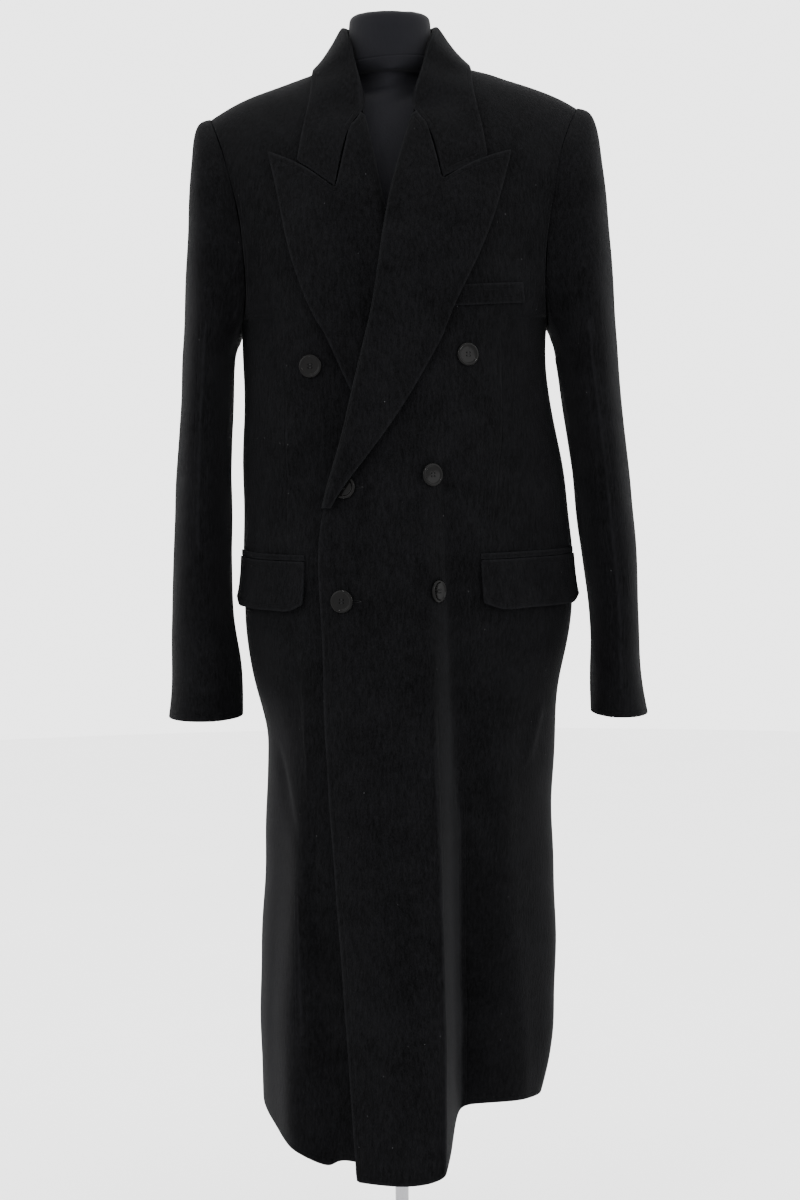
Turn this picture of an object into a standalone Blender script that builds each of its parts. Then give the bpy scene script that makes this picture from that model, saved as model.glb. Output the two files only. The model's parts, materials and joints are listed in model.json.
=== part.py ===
"""A long double-breasted wool overcoat with peak lapels, hung on a limbless dress form.

Metres, +Z up. The front faces -Y and the wearer's left is +X. The origin is the middle of the
stand's underside, on the floor. Every cloth piece is a wall: a grid of outer points worked out
from the tables below, and the same grid moved in by the cloth's thickness.
"""

import math

import bmesh
import bpy
import numpy as np
from mathutils import Matrix, Vector

# Walls and gaps
CLOTH = 0.0025
LAPEL = 0.0040
FACING = 0.0020
COLLAR = 0.0036
FLAP = 0.0028
JET = 0.0016
SEAM_GAP = 0.0003
FOLD_GAP = 0.0010
LAY_GAP = 0.0006
FOOT_GAP = 0.0009

# Levels and lines that the whole coat hangs from
SIDE_Y = 0.010
ARMPIT_Z = 1.165
NECK_Z = 1.467
NECK_X = 0.060
NECK_DROP = 0.040
LOW_Z = 0.224
VENT_TOP_Z = 0.700
VENT_PUSHED_Z = 0.660
VENT_LAP = 0.040
VENT_STEP = 0.0050

# The body: half widths on each side, and depths before and behind the side seams
BODY = {
    "z": (0.22, 0.25, 0.29, 0.36, 0.47, 0.54, 0.62, 0.69, 0.73, 0.76, 0.80, 0.84, 0.90, 0.97,
          1.03, 1.09, 1.14, 1.165, 1.18, 1.20, 1.25, 1.30, 1.36, 1.42, 1.47),
    "left": (0.168, 0.170, 0.179, 0.185, 0.188, 0.185, 0.183, 0.188, 0.189, 0.196, 0.203, 0.2095,
             0.2085, 0.2015, 0.193, 0.181, 0.1775, 0.181, 0.190, 0.1935, 0.2015, 0.212, 0.245, 0.275, 0.290),
    "right": (0.163, 0.164, 0.166, 0.166, 0.162, 0.158, 0.156, 0.1525, 0.162, 0.169, 0.174, 0.178,
              0.178, 0.178, 0.177, 0.175, 0.1725, 0.176, 0.184, 0.1870, 0.1940, 0.205, 0.238, 0.268, 0.283),
    "front": (0.264, 0.262, 0.258, 0.248, 0.235, 0.227, 0.218, 0.210, 0.206, 0.203, 0.200, 0.196,
              0.193, 0.188, 0.184, 0.179, 0.175, 0.172, 0.171, 0.170, 0.168, 0.165, 0.160, 0.155, 0.150),
    "back": (0.158, 0.157, 0.155, 0.150, 0.144, 0.140, 0.137, 0.134, 0.133, 0.132, 0.131, 0.130,
             0.128, 0.126, 0.127, 0.132, 0.138, 0.140, 0.141, 0.142, 0.145, 0.148, 0.152, 0.158, 0.165),
}
FRONT_SQUARE = 2.3
BACK_SQUARE = 2.5

# Height of the shoulder seam at each distance from the middle
SHOULDER = {
    "out": (0.000, 0.060, 0.108, 0.140, 0.172, 0.195, 0.2165, 0.240),
    "left": (1.467, 1.467, 1.4585, 1.4480, 1.4375, 1.4280, 1.4160, 1.398),
    "right": (1.467, 1.467, 1.4510, 1.4405, 1.4285, 1.4160, 1.4020, 1.380),
}

# The armhole seam: how far out it runs at each share of its height, 0 at the armpit
ARMHOLE = {
    "up": (0.00, 0.04, 0.12, 0.24, 0.42, 0.60, 0.76, 0.90, 1.00),
    "left": (0.1810, 0.1765, 0.1735, 0.1745, 0.1785, 0.1855, 0.1945, 0.2065, 0.2165),
    "right": (0.1760, 0.1700, 0.1665, 0.1670, 0.1720, 0.1800, 0.1900, 0.2010, 0.2090),
}
ARMHOLE_BACK_OUT = 0.004
ARMHOLE_STEPS = 8

# Front edges and roll lines, from the hem up to the neck
EDGE = {
    "z": (0.222, 0.293, 0.380, 0.467, 0.554, 0.642, 0.729, 0.817, 0.905, 0.950, 0.993, 1.059,
          1.114, 1.190, 1.294, 1.359, 1.400, 1.432, 1.467),
    "left": (-0.049, -0.0536, -0.0594, -0.0651, -0.0709, -0.0766, -0.0802, -0.0816, -0.085, -0.080,
             -0.0690, -0.0500, -0.0370, -0.0184, -0.0020, 0.0145, 0.0270, 0.0380, 0.0600),
    "right": (0.030, 0.032, 0.034, 0.035, 0.036, 0.036, 0.036, 0.038, 0.050, 0.062,
              0.0580, 0.0410, 0.0280, 0.0090, -0.0100, -0.0230, -0.0320, -0.0400, -0.0600),
}

# The deep fold of the left front: where it turns back, how wide the turn is, what depth it keeps
TURN = {
    "z": (0.22, 0.30, 0.37, 0.46, 0.55, 0.64, 0.73, 0.83, 0.90, 0.98, 1.06, 1.14, 1.20, 1.47),
    "x": (0.0560, 0.0575, 0.0580, 0.0568, 0.0555, 0.0532, 0.0508, 0.0470, 0.0455, 0.0430, 0.0440,
          0.0500, 0.0600, 0.1080),
    "wide": (0.022, 0.022, 0.022, 0.022, 0.024, 0.026, 0.028, 0.031, 0.030, 0.027, 0.030,
             0.036, 0.040, 0.040),
    "keeps": (0.30, 0.35, 0.42, 0.50, 0.58, 0.66, 0.74, 0.84, 0.885, 0.935, 0.975, 1.00, 1.00, 1.00),
}
TURN_LEAD = 0.35

# How far the right front lies behind the left one where it is covered
UNDER = {
    "z": (0.22, 0.30, 0.40, 0.55, 0.70, 0.82, 0.90, 0.945, 1.00, 1.25, 1.33, 1.40, 1.467),
    "back": (0.030, 0.026, 0.020, 0.013, 0.009, 0.0065, 0.0075, 0.0125, 0.0165, 0.0165, 0.0140, 0.0045, 0.0),
}
UNDER_CLEAR = 0.014
UNDER_FADE = 0.058

# Soft vertical folds: place at the top and at the hem, depth (out is positive), half width, levels
FRONT_FOLDS = (
    # the ridge and the hollow down the right front
    {"top_x": -0.105, "hem_x": -0.126, "out": 0.013, "half": 0.017, "top_z": 0.80, "full_z": 0.50},
    {"top_x": -0.128, "hem_x": -0.148, "out": -0.014, "half": 0.014, "top_z": 0.78, "full_z": 0.52},
    # the hollow under the left chest and the swell below it
    {"top_x": 0.150, "hem_x": 0.172, "out": -0.010, "half": 0.020, "top_z": 1.20, "full_z": 1.05},
    {"top_x": 0.112, "hem_x": 0.122, "out": 0.014, "half": 0.022, "top_z": 0.66, "full_z": 0.34},
    # the swell of the lapped panel
    {"top_x": -0.020, "hem_x": 0.004, "out": 0.006, "half": 0.030, "top_z": 0.80, "full_z": 0.45},
)
BACK_FOLDS = (
    # a flute and a hollow on each side
    {"top_x": 0.085, "hem_x": 0.082, "out": 0.022, "half": 0.024, "top_z": 1.02, "full_z": 0.50},
    {"top_x": -0.078, "hem_x": -0.076, "out": 0.019, "half": 0.024, "top_z": 0.98, "full_z": 0.46},
    {"top_x": 0.128, "hem_x": 0.126, "out": -0.015, "half": 0.018, "top_z": 1.04, "full_z": 0.56},
    {"top_x": -0.118, "hem_x": -0.118, "out": -0.013, "half": 0.018, "top_z": 1.00, "full_z": 0.56},
    # the small of the back
    {"top_x": 0.0, "hem_x": 0.0, "out": -0.008, "half": 0.050, "top_z": 1.16, "full_z": 1.00},
)

# The hem's height at each distance across, before and behind
HEM = {
    "x": (-0.170, -0.143, -0.114, -0.091, -0.050, 0.000, 0.030, 0.048, 0.066, 0.100, 0.170),
    "front": (0.2620, 0.2560, 0.2430, 0.2330, 0.2260, 0.2240, 0.2250, 0.2300, 0.2560, 0.2570, 0.2520),
    "back": (0.2620, 0.2570, 0.2540, 0.2530, 0.2510, 0.2500, 0.2505, 0.2510, 0.2530, 0.2540, 0.2520),
}
RIGHT_HEM_UP = 0.010

# Rows of the panels below the armpit, and columns from the front edge to the side seam
LEVELS = (0.300, 0.375, 0.450, 0.525, 0.600, 0.660, 0.700, 0.745, 0.785, 0.825, 0.865, 0.905, 0.945,
          0.990, 1.045, 1.105, 1.165)
LEFT_COLUMNS = (
    ("edge", 0.0), ("edge", 0.28), ("edge", 0.56), ("edge", 0.82),
    ("turn", 0.0), ("turn", 0.34), ("turn", 0.62), ("turn", 1.0),
    ("side", 0.18), ("side", 0.38), ("side", 0.60), ("side", 0.82), ("side", 1.0),
)
RIGHT_COLUMNS = (
    ("edge", 0.0), ("edge", 0.5), ("edge", 1.0), ("side", 0.10), ("side", 0.24), ("side", 0.38),
    ("side", 0.52), ("side", 0.66), ("side", 0.80), ("side", 0.91), ("side", 1.0),
)
BACK_COLUMNS = (0.0, 0.15, 0.29, 0.42, 0.55, 0.70, 0.86, 1.0)
NECK_COLUMN = 3
NECK_GATHER_UP = 0.8

# Each sleeve as a tube: outer and inner side, front and back, level by level
SLEEVE = {
    "z": (0.716, 0.733, 0.768, 0.797, 0.835, 0.900, 0.980, 1.050, 1.120),
    "left_out": (0.2935, 0.2900, 0.2850, 0.2828, 0.2830, 0.2808, 0.2740, 0.2675, 0.2605),
    "left_in": (0.2270, 0.2265, 0.2275, 0.2275, 0.2262, 0.2170, 0.2090, 0.1995, 0.1900),
    "right_out": (0.2672, 0.2656, 0.2614, 0.2614, 0.2613, 0.2578, 0.2540, 0.2490, 0.2433),
    "right_in": (0.1800, 0.1800, 0.1810, 0.1840, 0.1900, 0.1905, 0.1900, 0.1880, 0.1850),
    "fore": (-0.098, -0.099, -0.101, -0.102, -0.104, -0.107, -0.109, -0.109, -0.107),
    "aft": (0.030, 0.032, 0.036, 0.040, 0.044, 0.051, 0.060, 0.068, 0.076),
}
CAP_Z = 1.120
CAP_ROWS = (0.0, 0.14, 0.28, 0.42, 0.56, 0.70, 0.85, 1.0)
TUBE_ROWS = (1.070, 1.020, 0.970, 0.920, 0.870, 0.825, 0.785, 0.750, 0.716)
SLEEVE_FRONT_SEAM = 5
SLEEVE_BACK_SEAM = 11
CAP_REACH = 0.027
CAP_LEAN = {"left": 0.0175, "right": 0.0153}

# Lapels: the outer edge from the break up to the peak, and the top edge as shares of the width
LAPEL_EDGE = {
    "z": (0.950, 0.967, 0.985, 1.000, 1.026, 1.061, 1.106, 1.150, 1.192, 1.245, 1.294, 1.336, 1.3555, 1.400),
    "left": (-0.0735, -0.0655, -0.0545, -0.0430, -0.0240, 0.0016, 0.0296, 0.0532, 0.0702, 0.0962, 0.1150,
             0.1275, 0.1320, 0.1340),
    "right": (0.0440, 0.0430, 0.0370, 0.0200, -0.0020, -0.0280, -0.0530, -0.0735, -0.0925, -0.1105, -0.1208,
              -0.1300, -0.1345, -0.1360),
}
LAPEL_TOP = (
    {"share": 0.00, "left_z": 1.3990, "right_z": 1.3985},
    {"share": 0.07, "left_z": 1.3885, "right_z": 1.3860},
    {"share": 0.16, "left_z": 1.3765, "right_z": 1.3735},
    {"share": 0.40, "left_z": 1.3235, "right_z": 1.3150},
    {"share": 0.60, "left_z": 1.3368, "right_z": 1.3322},
    {"share": 0.79, "left_z": 1.3478, "right_z": 1.3462},
    {"share": 1.00, "left_z": 1.3555, "right_z": 1.3565},
)
LAPEL_FOOT_Z = {"left": 0.962, "right": 0.990}
LAPEL_LIFT = 0.0038
LAPEL_START = 0.0055
BREAK_LIFT = {"left": 0.0026, "right": 0.0}
BREAK_LIFT_Z = (1.000, 1.070)
ROLL_SWELL = 0.0016
ROLL_SWELL_SHARE = 0.4

# The facing's turn round the roll edge: (into the front, out of it) for both faces
ROLL_TURN = (
    {"outer": (0.0090, -CLOTH - FOLD_GAP - FACING), "inner": (0.0090, -CLOTH - FOLD_GAP), "rise": 0.0},
    {"outer": (-0.0008, -CLOTH - FOLD_GAP - FACING), "inner": (-0.0006, -CLOTH - FOLD_GAP), "rise": 0.0},
    {"outer": (-0.0038, -0.0012), "inner": (-FOLD_GAP - 0.0004, -0.0012), "rise": 0.0},
    {"outer": (-0.0024, 0.0030), "inner": (-FOLD_GAP, 0.0008), "rise": 0.5},
    {"outer": (0.0022, 0.0078), "inner": (0.0030, 0.0026), "rise": 1.0},
)

# The collar, from the gorge round to the nape. A low station lies flat beside the lapel, a roll station
# stands on the roll line, a nape station on the back neckline; edge is the fall's outer edge
COLLAR_STATIONS = (
    # the end at the gorge, and the gorge's turn
    {"kind": "low", "left": (0.0569, 1.3257), "right": (0.0626, 1.3172), "edge": (0.1065, 1.3500)},
    {"kind": "low", "left": (0.0436, 1.3790), "right": (0.0495, 1.3760), "edge": (0.1010, 1.3840)},
    # up the roll line to the front of the neck
    {"kind": "roll", "foot_z": 1.4010, "rise": 0.004, "lean": 0.0010, "edge": (0.0965, 1.4060), "fold": 0.0},
    {"kind": "roll", "foot_z": 1.4228, "rise": 0.012, "lean": 0.0030, "edge": (0.0930, 1.4280), "fold": 0.6},
    {"kind": "roll", "foot_z": 1.4400, "rise": 0.020, "lean": 0.0040, "edge": (0.0920, 1.4430)},
    {"kind": "roll", "foot_z": 1.4555, "rise": 0.029, "lean": 0.0050, "edge": (0.0910, 1.4550)},
    # the shoulder seam, and round the back neckline to the nape
    {"kind": "nape", "foot_x": 0.0600, "rise": 0.035, "lean": 0.0062, "edge": (0.0890, 1.4636)},
    {"kind": "nape", "foot_x": 0.0520, "rise": 0.038, "lean": 0.0050, "edge": (0.0830, 1.4555)},
    {"kind": "nape", "foot_x": 0.0414, "rise": 0.041, "lean": 0.0040, "edge": (0.0690, 1.4390)},
    {"kind": "nape", "foot_x": 0.0214, "rise": 0.042, "lean": 0.0030, "edge": (0.0370, 1.4310)},
    {"kind": "nape", "foot_x": 0.0000, "rise": 0.042, "lean": 0.0025, "edge": (0.0000, 1.4280)},
)
RIGHT_COLLAR_IN = 0.004
RIGHT_COLLAR_DOWN = 0.003
FALL_LIFT = 0.0026
FALL_SAG = 0.10
FALL_SHARES = (0.34, 0.68)
LOW_SHARES = (0.0, 0.06, 0.13, 0.22, 0.48, 0.74, 1.0)

# The fall's turn over the top of the stand: (away from the neck, up) for both faces
FOLD_TURN = (
    {"outer": (0.0, 0.0), "inner": (COLLAR, 0.0)},
    {"outer": (0.0, 0.0046), "inner": (COLLAR, 0.0016)},
    {"outer": (0.0042, 0.0076), "inner": (COLLAR + 0.0010, 0.0032)},
    {"outer": (0.0090, 0.0050), "inner": (COLLAR + 0.0020, 0.0022)},
)
# the same at the foot of the roll, where the collar hardly turns yet
SOFT_TURN = (
    {"outer": (0.0024, 0.0034), "inner": (COLLAR, 0.0)},
    {"outer": (0.0040, 0.0044), "inner": (COLLAR + 0.0012, 0.0008)},
    {"outer": (0.0062, 0.0048), "inner": (COLLAR + 0.0024, 0.0012)},
    {"outer": (0.0094, 0.0042), "inner": (COLLAR + 0.0036, 0.0010)},
)

# Pockets, as angles round the body and levels
FLAP_TOP_Z = 0.9010
FLAP_BOTTOM_Z = 0.8460
JET_BOTTOM_Z = 0.9022
JET_TOP_Z = 0.9085
FLAP_ANGLES = {"left": (27.5, 78.0), "right": (34.5, 82.0)}
FLAP_COLUMNS = 8
FLAP_ROWS = 4
FLAP_KICK = 0.0060
FLAP_CORNER = 0.008
WELT_X = (0.0560, 0.1470)
WELT_LOW_Z = (1.1830, 1.1880)
WELT_HEIGHT = 0.022
WELT_COLUMNS = 6

# Buttons: which front they sit on, and where
BUTTON_RADIUS = 0.0130
BUTTON_THICK = 0.0034
BUTTON_RIM = 0.0030
BUTTON_DISH = 0.0009
BUTTON_BEVEL = 0.0008
BUTTON_HOLE = 0.0011
BUTTON_HOLE_OUT = 0.0024
BUTTON_HOLES = 4
BUTTON_SIDES = 20
SEAT_PROBES = 12
BUTTONS = (
    {"name": "button_right_top", "front": "right", "x": -0.0918, "z": 1.1187},
    {"name": "button_right_middle", "front": "left", "x": -0.0555, "z": 0.9850},
    {"name": "button_right_bottom", "front": "left", "x": -0.0590, "z": 0.8589},
    {"name": "button_left_top", "front": "left", "x": 0.0827, "z": 1.1299, "sink": 0.0011},
    {"name": "button_left_middle", "front": "left", "x": 0.0416, "z": 0.9976},
    {"name": "button_left_bottom", "front": "left", "x": 0.0470, "z": 0.8688},
)

# The dress form: its shoulders follow the coat's, and the rest is rings about the side seams' plane
FORM_REST = 0.0060
FORM_SHOULDERS = (
    {"half": 0.163, "front": 0.028, "back": 0.028, "front_neck": 0.033, "back_neck": 0.021},
    {"half": 0.150, "front": 0.026, "back": 0.026, "front_neck": 0.033, "back_neck": 0.021},
    {"half": 0.127, "front": 0.021, "back": 0.021, "front_neck": 0.038, "back_neck": 0.022},
    {"half": 0.105, "front": 0.016, "back": 0.016, "front_neck": 0.041, "back_neck": 0.022},
    {"half": 0.085, "front": 0.0135, "back": 0.0135, "front_neck": 0.0435, "back_neck": 0.0200},
)
NECK_LOBE = 0.026
FORM_BODY = {
    "z": (0.760, 0.772, 0.800, 0.850, 0.930, 1.010, 1.100, 1.190, 1.280, 1.350, 1.390, 1.416),
    "half": (0.095, 0.128, 0.148, 0.158, 0.143, 0.127, 0.142, 0.156, 0.160, 0.167, 0.172, 0.171),
    "front": (0.080, 0.100, 0.112, 0.118, 0.107, 0.098, 0.118, 0.130, 0.118, 0.094, 0.076, 0.064),
    "back": (0.060, 0.082, 0.094, 0.100, 0.082, 0.068, 0.082, 0.098, 0.102, 0.088, 0.070, 0.060),
}
FORM_NECK = (
    {"z": 1.4559, "half": 0.0480, "front": 0.0460, "back": 0.0410},
    {"z": 1.4900, "half": 0.0475, "front": 0.0460, "back": 0.0410},
    {"z": 1.5130, "half": 0.0480, "front": 0.0465, "back": 0.0415},
    {"z": 1.5200, "half": 0.0460, "front": 0.0445, "back": 0.0395},
    {"z": 1.5230, "half": 0.0400, "front": 0.0385, "back": 0.0335},
)
FORM_SIDES = 28
FORM_Y = 0.010
FORM_NECK_Y = -0.002
LEAN_FROM_Z = 1.25
LEAN_OVER = 0.16
KNOB_X = 0.008
KNOB_RADIUS = 0.0090
KNOB_HEIGHT = 0.0050
POLE_RADIUS = 0.0080
POLE_TOP_Z = 0.7597
BASE_RADIUS = 0.170
BASE_THICK = 0.010
BASE_BEVEL = 0.003
SOCKET_RADIUS = 0.016
SOCKET_BEVEL = 0.002
SOCKET_TOP_Z = 0.040
TURNED_SIDES = 40

PROBE = 0.0004
UP = np.array((0.0, 0.0, 1.0))

WOOL = {"name": "black_wool", "colour": (0.012, 0.012, 0.014), "rough": 0.95, "metal": 0.0}
JERSEY = {"name": "black_jersey", "colour": (0.016, 0.016, 0.022), "rough": 0.90, "metal": 0.0}
HORN = {"name": "black_horn", "colour": (0.012, 0.012, 0.013), "rough": 0.25, "metal": 0.0}
STEEL = {"name": "satin_steel", "colour": (0.55, 0.55, 0.57), "rough": 0.35, "metal": 1.0}


def mix(a, b, share):
    return a + (b - a) * share


def smooth_step(share):
    share = min(max(share, 0.0), 1.0)
    return share * share * (3.0 - 2.0 * share)


def unit(vector):
    return vector / np.linalg.norm(vector)


def sign_of(side):
    return 1.0 if side == "left" else -1.0


def side_of(x):
    return "left" if x >= 0 else "right"


def slopes(keys, values):
    """Slopes of a smooth curve through the points that never overshoots them."""
    steps = np.diff(values) / np.diff(keys)
    found = np.zeros(len(keys))
    for i in range(1, len(keys) - 1):
        if steps[i - 1] * steps[i] > 0:
            found[i] = 2.0 * steps[i - 1] * steps[i] / (steps[i - 1] + steps[i])
    found[0], found[-1] = steps[0], steps[-1]
    return found


SLOPES = {}


def read(table, key, column, at):
    """A column of a table at any value of its key column, on a smooth curve."""
    keys, values = table[key], table[column]
    at = min(max(at, keys[0]), keys[-1])
    mark = (id(table), column)
    if mark not in SLOPES:
        SLOPES[mark] = slopes(keys, values)
    slope = SLOPES[mark]
    i = int(min(np.searchsorted(keys, at, side="right"), len(keys) - 1)) - 1
    span = keys[i + 1] - keys[i]
    t = (at - keys[i]) / span
    start = (2 * t**3 - 3 * t**2 + 1) * values[i] + (t**3 - 2 * t**2 + t) * span * slope[i]
    end = (3 * t**2 - 2 * t**3) * values[i + 1] + (t**3 - t**2) * span * slope[i + 1]
    return start + end


# The outer face of the body, as depth over places across and up


def shoulder_z(x):
    return read(SHOULDER, "out", side_of(x), abs(x))


def body_half(side, z):
    return read(BODY, "z", side, z)


def over_shoulder(x, z):
    """Share of its depth that the body keeps at a height: 0 at the shoulder seam, 1 at the armpit."""
    top = shoulder_z(x)
    down = min(max((top - z) / (top - ARMPIT_Z), 0.0), 1.0)
    return math.sqrt(1.0 - (1.0 - down) ** 2)


def across(x, z, square):
    """Share of its depth that the body keeps at a distance across: 1 in the middle, 0 at the side."""
    out = min(abs(x) / body_half(side_of(x), z), 1.0)
    return (1.0 - out**square) ** (1.0 / square)


def folds_at(folds, x, z):
    """How far the soft folds move the cloth out of the plain body."""
    out = 0.0
    for fold in folds:
        if z < fold["top_z"]:
            down = (fold["top_z"] - z) / (fold["top_z"] - LOW_Z)
            middle = mix(fold["top_x"], fold["hem_x"], down)
            strength = smooth_step((fold["top_z"] - z) / (fold["top_z"] - fold["full_z"]))
            out += fold["out"] * strength * math.exp(-(((x - middle) / fold["half"]) ** 2))
    return out


def left_front_y(x, z):
    """Outer face of the left front, with its deep fold."""
    depth = read(BODY, "z", "front", z) * over_shoulder(x, z) + folds_at(FRONT_FOLDS, x, z)
    turned = smooth_step((x - read(TURN, "z", "x", z)) / read(TURN, "z", "wide", z) + TURN_LEAD)
    return SIDE_Y - depth * across(x, z, FRONT_SQUARE) * mix(1.0, read(TURN, "z", "keeps", z), turned)


def right_front_y(x, z):
    """Outer face of the right front, which drops back where the left front covers it."""
    covered = (x - read(EDGE, "z", "left", z) + UNDER_CLEAR + UNDER_FADE) / UNDER_FADE
    return left_front_y(x, z) + read(UNDER, "z", "back", z) * smooth_step(covered)


def left_back_y(x, z):
    depth = read(BODY, "z", "back", z) * over_shoulder(x, z) + folds_at(BACK_FOLDS, x, z)
    return SIDE_Y + across(x, z, BACK_SQUARE) * depth


def right_back_y(x, z):
    """Outer face of the right back, which steps in under the left one at the vent."""
    low = smooth_step((VENT_TOP_Z - z) / (VENT_TOP_Z - VENT_PUSHED_Z))
    return left_back_y(x, z) - VENT_STEP * low * smooth_step((x + VENT_LAP) / VENT_LAP)


SURFACES = {
    "left": left_front_y,
    "right": right_front_y,
    "back_left": left_back_y,
    "back_right": right_back_y,
}


def point_on(surface, x, z):
    return np.array((x, SURFACES[surface](x, z), z))


def normal_on(surface, x, z):
    """Outward unit normal of a front or a back, from points close beside it."""
    top = shoulder_z(x)
    if z < ARMPIT_Z + PROBE and abs(x) > body_half(side_of(x), z) - 2 * PROBE:
        return np.array((math.copysign(1.0, x), 0.0, 0.0))
    if z > top - PROBE:
        rise = (shoulder_z(x + PROBE) - shoulder_z(x - PROBE)) / (2 * PROBE)
        return unit(np.array((-rise, 0.0, 1.0)))
    along_x = point_on(surface, x + PROBE, z) - point_on(surface, x - PROBE, z)
    along_z = point_on(surface, x, min(z + PROBE, top)) - point_on(surface, x, z - PROBE)
    normal = unit(np.cross(along_x, along_z))
    return -normal if surface.startswith("back") else normal


def lifted(surface, x, z, out):
    """A point that far out from a front or a back, along its normal."""
    return point_on(surface, x, z) + normal_on(surface, x, z) * out


# Making pieces


def material_of(finish):
    """The finish's material, made the first time that a piece asks for it."""
    made = bpy.data.materials.get(finish["name"])
    if made is None:
        made = bpy.data.materials.new(finish["name"])
        made.use_nodes = True
        shader = made.node_tree.nodes["Principled BSDF"]
        shader.inputs["Base Color"].default_value = (*finish["colour"], 1.0)
        shader.inputs["Roughness"].default_value = finish["rough"]
        shader.inputs["Metallic"].default_value = finish["metal"]
    return made


def add_piece(name, mesh, finish):
    """A mesh as a named object of the coat, with its material, shaded smooth."""
    piece = bpy.data.objects.new(name, mesh)
    if not mesh.materials:
        mesh.materials.append(material_of(finish))
    mesh.shade_smooth()
    mesh.set_sharp_from_angle(angle=math.radians(50))
    bpy.data.collections["overcoat_on_dress_form"].objects.link(piece)
    return piece


def next_in(face, vertex):
    corners = list(face.verts)
    return corners[(corners.index(vertex) + 1) % len(corners)]


def signed_volume(mesh):
    mesh.calc_loop_triangles()
    total = 0.0
    for triangle in mesh.loop_triangles:
        a, b, c = (mesh.vertices[i].co for i in triangle.vertices)
        total += a.dot(b.cross(c))
    return total


def rim_key(corner):
    """Order of a rim's corners: rims that face each other are cut along the same diagonal."""
    spot = corner.co
    return round(spot.z, 5), round(abs(spot.x) + abs(spot.y), 5)


def add_rim(work, corners):
    """Two triangles that close a wall's edge, cut from its highest corner."""
    first = max(range(4), key=lambda i: rim_key(corners[i]))
    a, b, c, d = corners[first:] + corners[:first]
    work.faces.new((a, b, c))
    work.faces.new((a, c, d))


def add_wall(name, outer, inner, finish, left_out=()):
    """A closed cloth wall between two grids of points, with a rim round every free edge."""
    work = bmesh.new()
    front = [[work.verts.new(point) for point in row] for row in outer]
    rear = [[work.verts.new(point) for point in row] for row in inner]
    behind = {}
    for front_row, rear_row in zip(front, rear):
        behind.update(zip(front_row, rear_row))
    for r in range(len(front) - 1):
        for c in range(len(front[0]) - 1):
            if (r, c) not in left_out:
                work.faces.new((front[r][c], front[r][c + 1], front[r + 1][c + 1], front[r + 1][c]))
    sheet = list(work.faces)
    for edge in [edge for edge in work.edges if edge.is_boundary]:
        a, b = edge.verts
        if next_in(edge.link_faces[0], a) is not b:
            a, b = b, a
        add_rim(work, [b, a, behind[a], behind[b]])
    for face in sheet:
        first, *others = face.verts
        work.faces.new([behind[first]] + [behind[corner] for corner in reversed(others)])
    bmesh.ops.delete(work, geom=[v for v in work.verts if not v.link_faces], context="VERTS")
    mesh = bpy.data.meshes.new(name)
    work.to_mesh(mesh)
    work.free()
    if signed_volume(mesh) < 0:
        mesh.flip_normals()
    return add_piece(name, mesh, finish)


# Fronts and backs


def armhole_x(side, up, behind):
    """Signed distance out of the armhole seam at a share of its height."""
    extra = ARMHOLE_BACK_OUT * math.sin(math.pi * up) if behind else 0.0
    return sign_of(side) * (read(ARMHOLE, "up", side, up) + extra)


def armhole_ups():
    """Shares of the armhole's height, spaced as even steps round half a circle."""
    return [(1.0 - math.cos(math.pi * step / ARMHOLE_STEPS)) / 2.0 for step in range(1, ARMHOLE_STEPS + 1)]


def angle_at(x, half):
    return math.asin(min(max(x / half, -1.0), 1.0))


def front_x(side, column, z, armhole=None):
    """Where a column of a front crosses a level. A row above the armpit ends on the armhole."""
    anchor, share = column
    sign = sign_of(side)
    half = body_half(side, z)
    edge = read(EDGE, "z", side, z)
    if side == "left":
        turn_start = read(TURN, "z", "x", z) - TURN_LEAD * read(TURN, "z", "wide", z)
        turn_end = turn_start + read(TURN, "z", "wide", z)
    else:
        turn_start = min(read(EDGE, "z", "left", z), edge) - UNDER_CLEAR
        turn_end = turn_start
    if anchor == "edge":
        return mix(edge, turn_start, share)
    if anchor == "turn":
        return mix(turn_start, turn_end, share)
    if share == 1.0:
        return sign * half if armhole is None else armhole
    end = math.pi / 2 if armhole is None else angle_at(sign * armhole, half)
    return sign * half * math.sin(mix(angle_at(sign * turn_end, half), end, share))


def front_hem_z(side, column):
    raised = RIGHT_HEM_UP if side == "right" and column[0] == "edge" else 0.0
    return read(HEM, "x", "front", front_x(side, column, LOW_Z)) + raised


def front_grid(side):
    """Places of a front's points: rows from the hem to the shoulder seam, columns from the edge out."""
    columns = LEFT_COLUMNS if side == "left" else RIGHT_COLUMNS
    hem = [front_hem_z(side, column) for column in columns]
    rows = [[(front_x(side, column, z), z) for column, z in zip(columns, hem)]]
    rows += [[(front_x(side, column, z), z) for column in columns] for z in LEVELS]
    for up in armhole_ups():
        row = []
        for column in columns:
            z = mix(ARMPIT_Z, NECK_Z, up)
            for _ in range(4):
                x = front_x(side, column, z, armhole_x(side, up, False))
                z = mix(ARMPIT_Z, shoulder_z(x), up)
            row.append((x, z))
        rows.append(row)
    return rows


def neck_share(x):
    """How far up the back its top row runs: to the seam, or to the neckline inside the neck points."""
    return 1.0 - NECK_DROP * max(0.0, 1.0 - (x / NECK_X) ** 2)


def back_x(share, reach, up):
    """Across a back. Towards the neck the columns gather so that one ends on the neck point."""
    plain = reach * mix(math.sin(share * math.pi / 2), share, up)
    neck = BACK_COLUMNS[NECK_COLUMN]
    gathered = NECK_X * share / neck if share <= neck else mix(NECK_X, reach, (share - neck) / (1.0 - neck))
    return mix(plain, gathered, smooth_step((up - NECK_GATHER_UP) / (1.0 - NECK_GATHER_UP)))


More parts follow.
